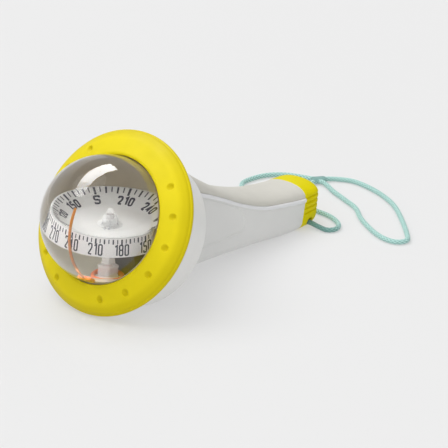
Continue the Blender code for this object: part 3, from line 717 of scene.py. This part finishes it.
def bowl():
    """The rear half of the capsule, with a tab on each side for the gimbal's pins."""
    out, inside = DOME_R - 0.3, DOME_R - DOME_WALL
    flat_in = BOWL_FLAT_S - BOWL_CENTRE_S
    flat_out = flat_in - 2.2
    out_end, in_end = math.acos(-flat_out / out), math.acos(-flat_in / inside)
    outline = [
        (inside, -6.9), (35.3, -6.9), (35.3, -7.9), (37.1, -7.9), (37.1, -6.9), (FLANGE_R, -6.9),
        (FLANGE_R, -9.0), (out, -9.0)]
    outline += sphere_line(out, math.radians(81.0), out_end, 20, BOWL_CENTRE_S, -1)
    outline += [(8.0, BOWL_FLAT_S - 2.2), (8.0, BOWL_FLAT_S)]
    outline += sphere_line(inside, in_end, math.radians(86.0), 24, BOWL_CENTRE_S, -1)
    pin_u = math.sin(HEAD_TILT) * PIVOT.y + math.cos(HEAD_TILT) * PIVOT.z
    tabs = []
    for side in (1, -1):
        foot = [(side * x, pin_u - 2, s) for x, s in (
            (30.1, -8.6), (33.0, -8.6), (33.0, -7.2), (31.3, -7.2), (31.3, -1.0), (30.1, -1.0))]
        tabs.append((foot + [(x, u + 4.0, s) for x, u, s in foot], tube_faces(2, 6)))
    shape = joined([turned(outline, 160)] + tabs)
    piece("bowl", shape, TAUPE, replaces=("capsule_bowl",), matrix=HEAD)


bowl()


def cup():
    """The cup behind the bumper, cut flat where it meets the table."""
    profile = [
        (34.8, -9.4), (45.9, -9.4), (45.9, -13.2), (47.0, -13.5), (47.0, -14.4), (46.1, -16.2),
        (CUP_REAR_R + 0.7, CUP_REAR_S + 1.2), (CUP_REAR_R - 0.8, CUP_REAR_S), (18.6, CUP_REAR_S),
        (18.6, CUP_REAR_S + 2.3), (36.3, CUP_REAR_S + 2.3), (42.6, -16.0), (42.6, -11.8), (34.8, -11.8)]
    radii = [0.2, 0.3, 0.1, 0.3, 0.5, 1.6, 1.3, 1.2, 0.3, 0.3, 1.0, 1.0, 0.5, 0.3]
    outline = subdivided(filleted(profile, radii, steps=6), 2.0)
    points, faces = turned(outline, 240)
    points = points @ np.array(HEAD.to_3x3()).T
    points[:, 2] = np.maximum(points[:, 2], REST_Z)
    piece("rear_cup", (points, faces), GREY_CUP, replaces=("head_cup",))


cup()

# ---------------- grip

STATIONS = 210
BEAD_POINTS = 12
END_LEAN = 0.137
END_LEAN_Z = -38.0
JOIN = 0.3


def station(y0, lean, curve):
    """The value of a curve in the leaning plane y = y0 + lean * z."""
    y = y0
    for _ in range(40):
        y = 0.5 * y + 0.5 * (y0 + lean * smooth(curve, y))
    return smooth(curve, y)


def grip_measures(y0, lean):
    """Half the width, and the heights of the parting line, the crown and the underside, in such a plane."""
    crown, parting, under = (station(y0, lean, curve) for curve in (CROWN, PARTING, UNDERSIDE))
    return smooth(HALF_WIDTH, y0 + lean * parting), parting, crown, under


def arch(width, base, crown, steps, power):
    """Right to left over the top."""
    turn = np.linspace(0, math.pi, steps + 1)
    c, s = np.cos(turn), np.sin(turn)
    x = width * np.copysign(np.abs(c) ** (2 / power), c)
    return np.stack([x, base + (crown - base) * np.abs(s) ** (2 / power)], axis=1)


def arch_power(y):
    """How square the top of the grip is: rounder towards its rear end."""
    return 2.35 - 0.2 * float(ease(y, 90.0, 135.0))


def lower_side(width, parting, under, bead, inset):
    """Right side from the parting line down to the middle of the underside."""
    w, low = width - inset, under + inset
    corner = 6.0 - 0.6 * inset
    foot = w - 0.8
    top = parting - 0.1
    proud = 0.85 if bead else 0.0
    edge = filleted(
        [(w - 0.5, top), (w + proud, top), (w + proud, top - 1.8), (w - 0.1, top - 2.7)],
        [0, 0.8, 0.8, 0.6], closed=False, steps=6)
    start, stop = np.array(edge[-1]), np.array((foot, low + corner))
    fall = [tuple(start + (stop - start) * t) for t in np.linspace(0, 1, 84)]
    return edge[:-1] + fall[:-1] + arc(foot - corner, low + corner, corner, 0, -90, 12) + [(0.0, low)]


def mirrored(half):
    """Both sides of an outline whose right half ends on the middle."""
    return np.array(half + [(-x, z) for x, z in reversed(half)][1:])


PANEL_REAR_Y = 96.0
PANEL_LOW_Z = -30.6
PANEL_MIN_X = 14.0


def blunted(one, two, radius):
    """The lesser of the distances from two edges, with the corner where they meet rounded."""
    blunt = radius - np.hypot(np.clip(radius - one, 0, None), np.clip(radius - two, 0, None))
    return np.where((one < radius) & (two < radius), blunt, np.minimum(one, two))


def panel_depth(y, z):
    """How far the shallow pocket on each side of the grip is sunk at a place."""
    top = np.array([smooth(PARTING, v) for v in y]) - 2.7 - z
    low = z - PANEL_LOW_Z + 0.03 * (y - 60.0)
    inside = blunted(blunted(top, PANEL_REAR_Y - y, 9.0), low, 4.0)
    depth = 0.55 + 0.7 * (1 - ease(y, 52.0, 84.0))
    depth = depth * (0.4 + 0.6 * ease(z, -30.0, -10.0))
    ridge = 0.3 * np.exp(-((inside + 0.35) / 0.45) ** 2) * ease(y, 60.0, 80.0)
    return depth * ease(inside, 0.0, 0.7) - ridge


def grip_shell(name, outer, inner, look, replaces):
    """A shell from matching outer and inner loops, station by station."""
    count = outer.shape[1]
    loops = np.concatenate([outer, inner[:, ::-1]], axis=1)
    rows, columns = loops.shape[:2]
    faces = sheet_faces(rows, columns)
    for row in (0, rows - 1):
        for i in range(count - 1):
            a, b = row * columns + i, row * columns + columns - 1 - i
            faces.append([a, a + 1, b - 1, b])
    return piece(name, (loops.reshape(-1, 3), faces), look, replaces=replaces, crease=50.0)


def grip():
    """Both shells, from loops that lean with the cup at the front and with the end cap at the rear."""
    lean_root = math.tan(HEAD_TILT)
    root_y = -(CUP_REAR_S - JOIN) / math.cos(HEAD_TILT)
    sets = {"low_out": [], "low_in": [], "up_out": [], "up_in": []}
    for k in range(STATIONS + 1):
        t = k / STATIONS
        y0 = root_y + (GRIP_END_Y - root_y) * t
        end_lean = END_LEAN * float(ease(t, 0.6, 1.0))
        y0 -= end_lean * END_LEAN_Z
        lean = lean_root * max(0.0, 1 - t / 0.55) ** 1.3 + end_lean
        width, parting, crown, under = grip_measures(y0, lean)
        power = arch_power(y0)
        over = arch(width - 0.2, parting, crown, 64, power)
        tuck = (0.12 + 0.6 * (1 - float(ease(y0, 48.0, 72.0)))) * (1 - ease(over[:, 1] - parting, 0.0, 3.2))
        over[:, 0] -= np.sign(over[:, 0]) * tuck
        loops = {
            "low_out": mirrored(lower_side(width, parting, under, True, 0.0)),
            "low_in": mirrored(lower_side(width, parting, under, False, WALL)),
            "up_out": over,
            "up_in": arch(width - WALL - 0.3, parting, crown - WALL, 64, power)}
        for key, loop in loops.items():
            sets[key].append(np.stack([loop[:, 0], y0 + lean * loop[:, 1], loop[:, 1]], axis=1))
    shells = {key: np.array(value) for key, value in sets.items()}
    low = shells["low_out"]
    sunk = panel_depth(low[:, :, 1].ravel(), low[:, :, 2].ravel()).reshape(low.shape[:2])
    low[:, :, 0] -= np.sign(low[:, :, 0]) * sunk * (np.abs(low[:, :, 0]) > PANEL_MIN_X)
    lower = grip_shell("grip_lower_shell", low, shells["low_in"], GREY, ("handle_lower",))
    # Painted highlight: the bead's points take the paler second colour.
    bead = np.zeros((low.shape[0], low.shape[1] + shells["low_in"].shape[1]))
    bead[:, :BEAD_POINTS] = 1.0
    bead[:, low.shape[1] - BEAD_POINTS:low.shape[1]] = 1.0
    mark(lower, "painted_light", bead.ravel())
    grip_shell("grip_upper_shell", shells["up_out"], shells["up_in"], GREY_WARM,
               ("handle_upper",))
    return lower


lower_shell = grip()

BUTTON_Y = 44.0
BUTTON_HOLE_R = 6.0


def press_button():
    """The light's button in its hole in the underside."""
    under = smooth(UNDERSIDE, BUTTON_Y)
    start = (0, BUTTON_Y, under - 5.0)
    cut(lower_shell, [bore(start, (0, 0, 1), (BUTTON_HOLE_R, BUTTON_HOLE_R), 14.0, 64)])
    shape = spun([
        (0, -5.4), (3.6, -5.2), (5.1, -4.4), (5.6, -3.4), (5.6, -0.5), (7.2, -0.5), (7.2, 0.4), (2.0, 0.4),
        (2.0, 1.2), (0, 1.2)], [0, 0.8, 0.6, 0.6, 0.2, 0.2, 0.2, 0.2, 0.2, 0], 72)
    piece("press_button", shape, YELLOW, "light_button", ("light_button",),
          Matrix.Translation(Vector((0, BUTTON_Y, under + 3.6))))


press_button()

# ---------------- end cap with its finger grooves

GROOVES = 4
GROOVE_TOP_Z = -30.6
GROOVE_STEP = 3.1
GROOVE_DEPTH = 0.95
CAP_EDGE = (
    (150.3, 0.35), (150.9, 0.0), (158.0, 0.0), (161.5, 0.25), (163.8, 0.95), (165.2, 2.0), (166.0, 3.6))
CAP_LIFT = ((150.3, 0.0), (157.0, 0.0), (160.0, 0.2), (162.8, 0.9), (164.6, 1.9), (166.0, 3.2))


def cap_loop(y, inset, lift=0.0):
    """Whole outline of the grip at y, shrunk by inset, with the lower edge lifted, leaning as it does."""
    width, parting, crown, under = grip_measures(y, 0.0)
    over = [tuple(p) for p in arch(width - 0.2 - inset, parting, crown - inset, 72, arch_power(y))]
    corner = max(6.0 - 0.6 * inset, 1.5)
    foot = width - 0.8 - inset
    drop = under + inset + corner - parting
    side = [(foot + 0.6 - 0.6 * t, parting + drop * t) for t in np.linspace(0, 1, 72)]
    side = side[1:-1] + arc(foot - corner, under + inset + corner, corner, 0, -90, 14)
    loop = np.array(over + [(-x, z) for x, z in side] + side[::-1])
    low = loop[:, 1].min()
    loop[:, 1] += lift * np.clip(1 - (loop[:, 1] - low) / 9.0, 0, None)
    lean = END_LEAN * (1 - 0.55 * float(ease(y, 154.0, 166.0)))
    return np.stack([loop[:, 0], y + lean * (loop[:, 1] - END_LEAN_Z), loop[:, 1]], axis=1)


def grooved(loop, share):
    """The loop with level grooves across both of its flanks."""
    x, z = loop[:, 0], loop[:, 2]
    phase = (GROOVE_TOP_Z - z) / GROOVE_STEP
    within = ease(phase, -0.45, -0.05) * (1 - ease(phase, GROOVES - 0.95, GROOVES - 0.55))
    sunk = GROOVE_DEPTH * within * np.clip(np.cos(2 * math.pi * phase), 0, None) ** 1.2 * share
    out = loop.copy()
    out[:, 0] -= np.sign(x) * sunk * ease(np.abs(x), 9.0, 12.0)
    return out


CAP_REAR_Y = CAP_EDGE[-1][0]
CAP_STATIONS = ((150.35, 151.0, 6), (151.6, 158.0, 12), (158.4, CAP_REAR_Y, 34))
PLUG_FRONT_Y = 143.6
PLUG_INSET = WALL + 1.0


def end_cap():
    """From the inside of its plug over the plug's front to its edge, then back to its closed rear."""
    loops = [cap_loop(y, PLUG_INSET + more) for y, more in (
        (149.3, 1.1), (PLUG_FRONT_Y + 0.3, 1.1), (PLUG_FRONT_Y, 0.8), (PLUG_FRONT_Y, 0.3),
        (PLUG_FRONT_Y + 0.3, 0.0), (CAP_START_Y - 0.01, 0.0))]
    loops += [cap_loop(CAP_START_Y, 2.0), cap_loop(CAP_START_Y, CAP_EDGE[0][1])]
    for start, stop, count in CAP_STATIONS:
        for y in np.linspace(start, stop, count):
            loop = cap_loop(y, smooth(CAP_EDGE, y), smooth(CAP_LIFT, y))
            loops.append(grooved(loop, float(ease(y, 151.4, 152.2))))
    for inset, proud in ((4.6, 0.2), (6.0, 0.35), (8.0, 0.4)):
        loop = cap_loop(CAP_REAR_Y, inset, smooth(CAP_LIFT, CAP_REAR_Y))
        loop[:, 1] += proud
        loops.append(loop)
    shape = np.concatenate(loops), tube_faces(len(loops), len(loops[0]))
    made = piece("grip_end_cap", shape, YELLOW_HARD, "end_cap", ("end_cap",), crease=42.0)
    hole = bore((-30, HOLE_Y, HOLE_Z), (1, 0, 0), (HOLE_R, HOLE_R), 60.0)
    mouths = [
        bore((side * 12.8, HOLE_Y, HOLE_Z), (side, 0, 0), (HOLE_R, HOLE_R + 1.0), 4) for side in (1, -1)]
    cut(made, [hole] + mouths)
    ring = [cap_loop(y, inset) for y, inset in (
        (145.2, 3.1), (145.05, 2.8), (145.2, 2.45), (145.6, 2.32), (146.0, 2.45), (146.15, 2.8),
        (146.0, 3.1))]
    shape = np.concatenate(ring), sheet_faces(len(ring), len(ring[0]), close_rows=True)
    piece("cap_sealing_ring", shape, BLACK, "end_cap", ("cap_seal",))


end_cap()

# ---------------- card: dish, skirt, scales and figures

DISH_R = 15.8
DISH_DROP = 3.35
TOP_RIM_R = CARD_R - 0.3
SHOULDER_R = CARD_R + 0.5
SHOULDER = 0.6
TOP_ZERO = -237.0
SKIRT_ZERO = -57.0
INK_LIFT = 0.05
STROKE_STEP = 0.8
TOP_MARKS = ((2.35, 0.37), (2.0, 0.28), (1.6, 0.19))
SKIRT_MARKS = ((2.6, 0.42), (2.3, 0.35), (2.0, 0.25))

# Each character's strokes in a box one wide and one high. Those of 0 and 8 are closed.
GLYPHS = {
    "0": [[(0, 0), (1, 0), (1, 1), (0, 1)]],
    "1": [[(0.05, 0.84), (0.62, 1.0), (0.62, 0)]],
    "2": [[(0, 0.78), (0, 1), (1, 1), (1, 0.6), (0, 0), (1, 0)]],
    "3": [[(0, 0.8), (0, 1), (1, 1), (1, 0.53), (0.4, 0.53)],
          [(0.4, 0.53), (1, 0.53), (1, 0), (0, 0), (0, 0.2)]],
    "4": [[(0.74, 0), (0.74, 1), (0, 0.26), (1.05, 0.26)]],
    "5": [[(0.95, 1), (0.04, 1), (0.04, 0.56), (1, 0.6), (1, 0), (0, 0), (0, 0.2)]],
    "6": [[(1, 0.8), (1, 1), (0, 1), (0, 0), (1, 0), (1, 0.57), (0, 0.57)]],
    "7": [[(0, 1), (1, 1), (0.36, 0)]],
    "8": [[(0, 0.53), (1, 0.53), (1, 1), (0, 1)], [(0, 0), (1, 0), (1, 0.53), (0, 0.53)]],
    "9": [[(0, 0.2), (0, 0), (1, 0), (1, 1), (0, 1), (0, 0.43), (1, 0.43)]],
    "N": [[(0, 0), (0, 1), (1, 0), (1, 1)]],
    "E": [[(1, 1), (0, 1), (0, 0), (1, 0)], [(0, 0.52), (0.85, 0.52)]],
    "W": [[(-0.15, 1), (0.18, 0), (0.5, 0.8), (0.82, 0), (1.15, 1)]],
    "S": [[(1, 0.8), (1, 1), (0, 1), (0, 0.53), (1, 0.5), (1, 0), (0, 0), (0, 0.2)]],
}


def dish_height(r):
    """How high the card's upper face stands at r from its middle."""
    return -DISH_DROP * np.clip((TOP_RIM_R - r) / (TOP_RIM_R - DISH_R), 0, 1)


def on_top(angle, out, lift):
    """A place on the card's upper scale. angle is in degrees clockwise from +y, out from the middle."""
    a = math.radians(angle)
    return out * math.sin(a), out * math.cos(a), dish_height(out) + lift


def on_skirt(angle, down, lift):
    """A place on the skirt, down from its upper edge."""
    a = math.radians(angle)
    r = SHOULDER_R + (SKIRT_R - SHOULDER_R) * down / (SKIRT_DROP - SHOULDER) + lift
    return r * math.sin(a), r * math.cos(a), -SHOULDER - down


def unit(rows):
    """The same vectors, each one long."""
    return rows / np.maximum(np.linalg.norm(rows, axis=1), 1e-9)[:, None]


def ribbon(line, half, closed, place):
    """A printed stroke along a line of flat (x, y) points, laid on the card by place(x, y, lift)."""
    pts = np.array(line, float)
    if closed:
        ahead = np.roll(pts, -1, axis=0) - pts
        back = pts - np.roll(pts, 1, axis=0)
    else:
        step = np.diff(pts, axis=0)
        ahead, back = np.vstack([step, step[-1:]]), np.vstack([step[:1], step])
    ahead, back = unit(ahead), unit(back)
    mean = unit(ahead + back)
    normal = np.stack([-mean[:, 1], mean[:, 0]], axis=1)
    bend = np.clip((mean * ahead).sum(axis=1), 0.45, 1.0)
    offset = normal * (half / bend)[:, None]
    points = []
    for p, o in zip(pts, offset):
        for q, lift in ((p + o, 0.0), (p + o, INK_LIFT), (p - o, INK_LIFT), (p - o, 0.0)):
            points.append(place(q[0], q[1], lift))
    return points, sheet_faces(len(pts), 4, close_rows=True) if closed else tube_faces(len(pts), 4)


def figures(text, wide, high, half, gap, place):
    """The strokes of a row of characters, centred on x = 0, standing on y = 0."""
    widths = [wide * (0.62 if c == "1" else 1.0) for c in text]
    x = -(sum(widths) + gap * (len(text) - 1) + 2 * half * len(text)) / 2
    strokes = []
    for c, w in zip(text, widths):
        x += half
        closed = c in "08"
        rounding = 0.0 if c in "174NW" else wide * 0.42
        for line in GLYPHS[c]:
            scaled = [(x + px * wide, half + py * (high - 2 * half)) for px, py in line]
            bent = subdivided(filleted(scaled, rounding, closed, 4), STROKE_STEP, closed)
            strokes.append(ribbon(bent, half, closed, place))
        x += w + half + gap
    return strokes


def of_size(degree, sizes):
    """The size of a mark at every 30, every 10 or every 5 degrees."""
    return sizes[0] if degree % 30 == 0 else sizes[1] if degree % 10 == 0 else sizes[2]


def dial():
    """A scale and figures on the card's top, and others on its skirt."""
    marks = []
    for degree in range(0, 360, 5):
        at = degree + TOP_ZERO

        def top(x, y, lift, at=at):
            return on_top(at + math.degrees(x / 21.0), TOP_RIM_R - 0.05 - y, lift)

        length, half = of_size(degree, TOP_MARKS)
        line = subdivided([(0, 0), (0, length)], STROKE_STEP, closed=False)
        marks.append(ribbon(line, half, False, top))
        at = degree + SKIRT_ZERO

        def side(x, y, lift, at=at):
            return on_skirt(at + math.degrees(x / SKIRT_R), 0.45 + y, lift)

        length, half = of_size(degree, SKIRT_MARKS)
        marks.append(ribbon([(0, 0), (0, length)], half, False, side))
    for degree in range(0, 360, 30):
        at = degree + TOP_ZERO

        def top_figure(x, y, lift, at=at):
            return on_top(at + math.degrees(x / 18.2), 16.6 + y, lift)

        text = {0: "N", 90: "E", 180: "S", 270: "W"}.get(degree, str(degree))
        wide = 1.75 if len(text) == 1 else 1.16
        marks += figures(text, wide, 3.2, 0.32, 0.28, top_figure)
        at = degree + SKIRT_ZERO

        def side_figure(x, y, lift, at=at):
            return on_skirt(at - math.degrees(x / SKIRT_R), SKIRT_DROP - SHOULDER - 0.7 - y, lift)

        marks += figures(str(degree), 1.6, 5.75, 0.34, 0.5, side_figure)
    piece("card_scales", joined(marks), INK, "card", matrix=CARD, crease=30.0)


def card():
    """A shallow dish with a skirt. The skirt takes the look's second colour, much paler than the top's: painted
    light, as dish and skirt are one white plastic.
    """
    points, faces = spun([
        (3.5, -DISH_DROP), (DISH_R, -DISH_DROP), (TOP_RIM_R, 0.0), (CARD_R + 0.35, -0.1),
        (SHOULDER_R, -SHOULDER), (SKIRT_R, -SKIRT_DROP), (SKIRT_R - 0.7, -SKIRT_DROP), (CARD_R - 0.35, -1.2),
        (15.4, -4.25), (3.5, -4.25)],
        [0.1, 1.2, 0.25, 0.2, 0.3, 0.1, 0.1, 0.4, 0.5, 0.1], 240, closed=True)
    made = piece("compass_card", (points, faces), WHITE, "card", ("card",), CARD)
    # Painted light: the skirt is painted much paler than the top.
    on_the_skirt = (np.hypot(points[:, 0], points[:, 1]) > CARD_R + 0.45) & (points[:, 2] < -0.5)
    mark(made, "painted_light", on_the_skirt)


card()
dial()

LOBE_OUT = 2.0


def card_cap():
    """Clear cap over the pivot: a post with a round top between two lobes, on a thin flange."""
    flange = spun([(2.9, -3.2), (4.9, -3.2), (4.9, -2.9), (2.9, -2.6)], 0.14, 72, closed=True)
    post = spun([
        (0, -3.1), (2.0, -3.1), (1.6, -0.4), (1.0, 1.6), (1.4, 2.4), (1.15, 3.4), (0, 3.8)],
        [0, 0.3, 0.8, 0.6, 0.6, 0.7, 0], 64)
    shell = spun([(2.9, -2.7), (3.3, -2.7), (3.1, -0.4), (2.0, 1.6), (1.7, 1.5), (2.7, -0.6)], 0.35, 72,
                 closed=True)
    lobe = spun([(0, -3.1), (1.1, -3.1), (1.0, 0.1), (0.7, 0.6), (0, 0.7)], [0, 0.1, 0.4, 0.3, 0], 40)
    lobes = [moved(lobe, Matrix.Translation(right * (side * LOBE_OUT))) for side in (1, -1)]
    shape = joined([flange, post, shell] + lobes)
    piece("clear_card_cap", shape, CLEAR_CAP, "card", ("card_cap",), CARD)
    head = spun([(0, -2.9), (0.42, -2.9), (0.42, -2.1), (0, -2.0)], [0, 0, 0.1, 0], 32)
    spots = [right * (side * (LOBE_OUT + 1.0)) + level_towards * 0.6 for side in (1, -1)]
    spots += [right * x + level_towards * 5.2 + Vector((0, 0, -0.35)) for x in (-1.9, -0.2)]
    shape = joined([moved(head, Matrix.Translation(spot)) for spot in spots])
    piece("card_cap_pins", shape, STEEL, "card", matrix=CARD)


card_cap()

# ---------------- gimbal

RING_R = 5.3
RING_HALF = 0.75


def bent_bar(radius, half_radial, half_wide, a0, a1, steps, point, rounding=0.25):
    """A bar of rounded section along an arc, tapered at its free end."""
    corners = [(x * half_radial, y * half_wide) for x, y in ((-1, -1), (1, -1), (1, 1), (-1, 1))]
    section = filleted(corners, rounding, steps=4)
    points = []
    for i in range(steps + 1):
        t = i / steps
        a = math.radians(a0 + (a1 - a0) * t)
        slim = 1.0 - 0.5 * float(ease(t, 0.985, 1.0))
        points += [point(radius + r * slim, a, w * slim) for r, w in section]
    return points, tube_faces(steps + 1, len(section))


def gimbal():
    """Two arms on their eyes, and the orange line, the base and the weight that hang from them."""
    for side, tag in ((1, "right"), (-1, "left")):
        def across(r, a, w, side=side):
            return (side * r * math.cos(a), w, -r * math.sin(a))

        arm = bent_bar(ARM_R, 0.55, 1.3, 3, 60, 48, across)
        eye = spun([(0.83, -0.6), (2.0, -0.6), (2.0, 0.6), (0.83, 0.6)], 0.15, 48, closed=True)
        shape = joined([arm, moved(eye, rod_matrix((side * ARM_R, 0, 0), (side, 0, 0)))])
        piece("clear_arm_" + tag, shape, CLEAR_ARM, "gimbal", ("gimbal_arm_" + tag,),
              AT_PIVOT)

    def sagittal(r, a, w):
        return (w, -r * math.cos(a), r * math.sin(a))

    line = bent_bar(LUBBER_R, 0.5, 0.65, -61.5, 27.0, 120, sagittal)
    piece("lubber_bar", line, LUBBER, "gimbal", ("lubber_line",), GIMBAL)
    disc = spun([
        (0, -28.2), (7.6, -27.6), (12.0, -25.9), (12.5, -24.9), (11.8, -24.3), (7.6, -23.4), (4.0, -22.9),
        (0, -22.8)], [0, 1, 1, 0.4, 0.4, 1, 1, 0], 120)
    hub = spun([(0, -23.2), (4.2, -23.2), (4.0, -22.5), (0, -22.4)], [0, 0.1, 0.3, 0], 72)
    piece("base_dish", joined([disc, hub]), FROSTED, "gimbal", ("gimbal_base",), GIMBAL)
    around = np.linspace(0, 2 * math.pi, 17)[:-1]
    ring = turned([(RING_R + RING_HALF * math.cos(a), RING_HALF * math.sin(a)) for a in around], 120)
    tipped = Matrix.Rotation(math.radians(13.0), 4, right)
    ring = moved(ring, Matrix.Translation(Vector((0, 0, -22.55))) @ tipped)
    foot = bent_bar(LUBBER_R, 1.5, 3.6, -58.5, -67.0, 12, sagittal, 0.8)
    shape = joined([ring, foot])
    piece("weight_ring", shape, ORANGE, "gimbal", ("gimbal_weight",), GIMBAL)


def square(half, z, cut_off):
    """A level square with its corners cut off."""
    a, b = half, half - cut_off
    return [(a, -b, z), (a, b, z), (b, a, z), (-b, a, z), (-a, b, z), (-a, -b, z), (-b, -a, z), (b, -a, z)]


def pivot_block():
    """The clear block that carries the pivot: a cube on the base, with a tapered post."""
    loops = [
        square(2.7, -22.5, 0.5), square(2.8, -22.3, 0.5), square(2.8, -19.5, 0.5), square(3.0, -19.3, 0.6),
        square(3.0, -18.6, 0.6), square(2.5, -18.3, 0.5), square(2.0, -18.0, 0.4), square(1.6, -14.3, 0.3)]
    shape = np.concatenate(loops), tube_faces(len(loops), 8)
    made = piece("clear_block", shape, CLEAR_BLOCK, "gimbal", ("pivot_block",), GIMBAL,
                 crease=25.0)
    step = made.modifiers.new("edges", "BEVEL")
    step.width = 0.25 * MM
    step.segments = 3


gimbal()
pivot_block()

# ---------------- CAD pieces that keep their own shape

CAD_LOOKS = {
    "grey_plastic": GREY, "brass": BRASS, "black_rubber": BLACK, "steel": STEEL, "board": BOARD,
    "black_plastic": DARK, "clear_acrylic": CLEAR_BLOCK, "cell_can": CAN, "card_white": WHITE,
    "jewel": JEWEL, "orange_plastic": ORANGE, "orange_brass": ORANGE, "yellow_plastic": YELLOW_HARD,
    "yellow_rubber": YELLOW, "warm_grey_plastic": GREY_WARM, "taupe_plastic": TAUPE, "cord": CORD}
SLOTS = {s["node"]: s["material_slot"] for s in frame["record"]["subparts"]}
for name, cad in frame["nodes"].items():
    cad.data.materials.clear()
    cad.data.materials.append(CAD_LOOKS[SLOTS[name]])

# ---------------- floor and light

FLOOR_GLOW = 1.15
FLOOR_HALF = 12.0


def floor():
    """A pale floor that glows a little, as pale as the photo's background."""
    look = Look("studio_floor")
    drift = look.spread(look.noise(900.0), 0.0, 1.0)
    shade = look.mixed(drift, (0.362, 0.362, 0.362), (0.366, 0.366, 0.366))
    look.sockets(
        base_color=shade, emission_color=shade, roughness=0.9, specular_ior_level=0.0,
        emission_strength=FLOOR_GLOW)
    mesh = bpy.data.meshes.new("studio_floor")
    corners = [(x * FLOOR_HALF, y * FLOOR_HALF, 0) for x, y in ((-1, -1), (1, -1), (1, 1), (-1, 1))]
    mesh.from_pydata(corners, [], [(0, 1, 2, 3)])
    mesh.materials.append(look.material)
    made = placed("studio_floor", mesh)
    made.location.z = -0.0002


def sky(low, high):
    """Pale light from all round, stronger from above."""
    world = bpy.data.worlds.new("studio")
    world.use_nodes = True
    tree = world.node_tree
    place = tree.nodes.new("ShaderNodeTexCoord")
    height = tree.nodes.new("ShaderNodeSeparateXYZ")
    strength = tree.nodes.new("ShaderNodeMapRange")
    for key, value in (("From Min", 0.0), ("From Max", 1.0), ("To Min", low), ("To Max", high)):
        strength.inputs[key].default_value = value
    tree.links.new(place.outputs["Generated"], height.inputs[0])
    tree.links.new(height.outputs["Z"], strength.inputs["Value"])
    tree.links.new(strength.outputs["Result"], tree.nodes["Background"].inputs["Strength"])
    tree.nodes["Background"].inputs["Color"].default_value = (1.0, 1.0, 1.0, 1.0)
    bpy.context.scene.world = world


def sun(name, direction, strength, spread):
    """Soft light from a direction, alike over the whole floor. spread is in degrees."""
    made = placed(name, bpy.data.lights.new(name, "SUN"))
    made.data.energy = strength
    made.data.angle = math.radians(spread)
    made.rotation_euler = Vector(direction).to_track_quat("Z", "Y").to_euler()
    made.visible_glossy = False


def strip(name, middle, along_axis, width, length, radiance, facing):
    """A flat light that is there for its reflection. middle is its place, in metres from the dome."""
    made = placed(name, bpy.data.lights.new(name, "AREA"))
    made.data.shape = "RECTANGLE"
    made.data.size = width
    made.data.size_y = length
    made.data.energy = radiance * math.pi * width * length
    up = (along_axis - facing * along_axis.dot(facing)).normalized()
    turn = Matrix((up.cross(facing), up, facing)).transposed().to_4x4()
    turn.translation = ORIGIN + middle
    made.matrix_world = turn
    made.visible_diffuse = False


def inner_fill():
    """Weak light under the card, for the lower part of the bowl."""
    made = placed("inner_fill", bpy.data.lights.new("inner_fill", "AREA"))
    made.data.shape = "DISK"
    made.data.size = 24.0 * MM
    made.data.energy = 0.0035
    made.location = row_frame([(0.0, -14.0, -12.5)])[0]
    made.rotation_euler = Vector((0.0, -1.0, 0.75)).to_track_quat("Z", "Y").to_euler()
    for ray in ("camera", "glossy", "transmission"):
        setattr(made, "visible_" + ray, False)


def from_dome(x, y, z):
    """The direction that lies x to the right, y up and z towards the camera."""
    return (right * x + above * y + towards * z).normalized()


STRIP_TOP = from_dome(0.134, 0.953, -0.273)
STRIP_LOW = from_dome(-0.654, 0.605, 0.452)
STRIP_FACING = (STRIP_TOP + STRIP_LOW).normalized()
STRIP_AXIS = (STRIP_TOP - STRIP_LOW).normalized()
STRIP_WIDTH = 0.35
STRIP_PARTS = ((0.72, -0.20, 9.5), (-0.20, -0.45, 5.6), (-0.45, -0.72, 3.0))

floor()
sky(0.32, 0.72)
sun("key", (-0.36, -0.22, 1.0), 1.5, 50.0)
sun("front", towards + above * 0.15 - right * 0.15, 1.05, 70.0)
inner_fill()
for part, (start, stop, radiance) in enumerate(STRIP_PARTS):
    middle = STRIP_FACING + STRIP_AXIS * ((start + stop) / 2)
    strip(f"strip_{part}", middle, STRIP_AXIS, STRIP_WIDTH, start - stop, radiance, STRIP_FACING)
BACKDROP = from_dome(-0.62, 0.30, -0.72)
strip("backdrop_glow", BACKDROP * 1.3, above, 1.7, 1.7, 0.4, BACKDROP)
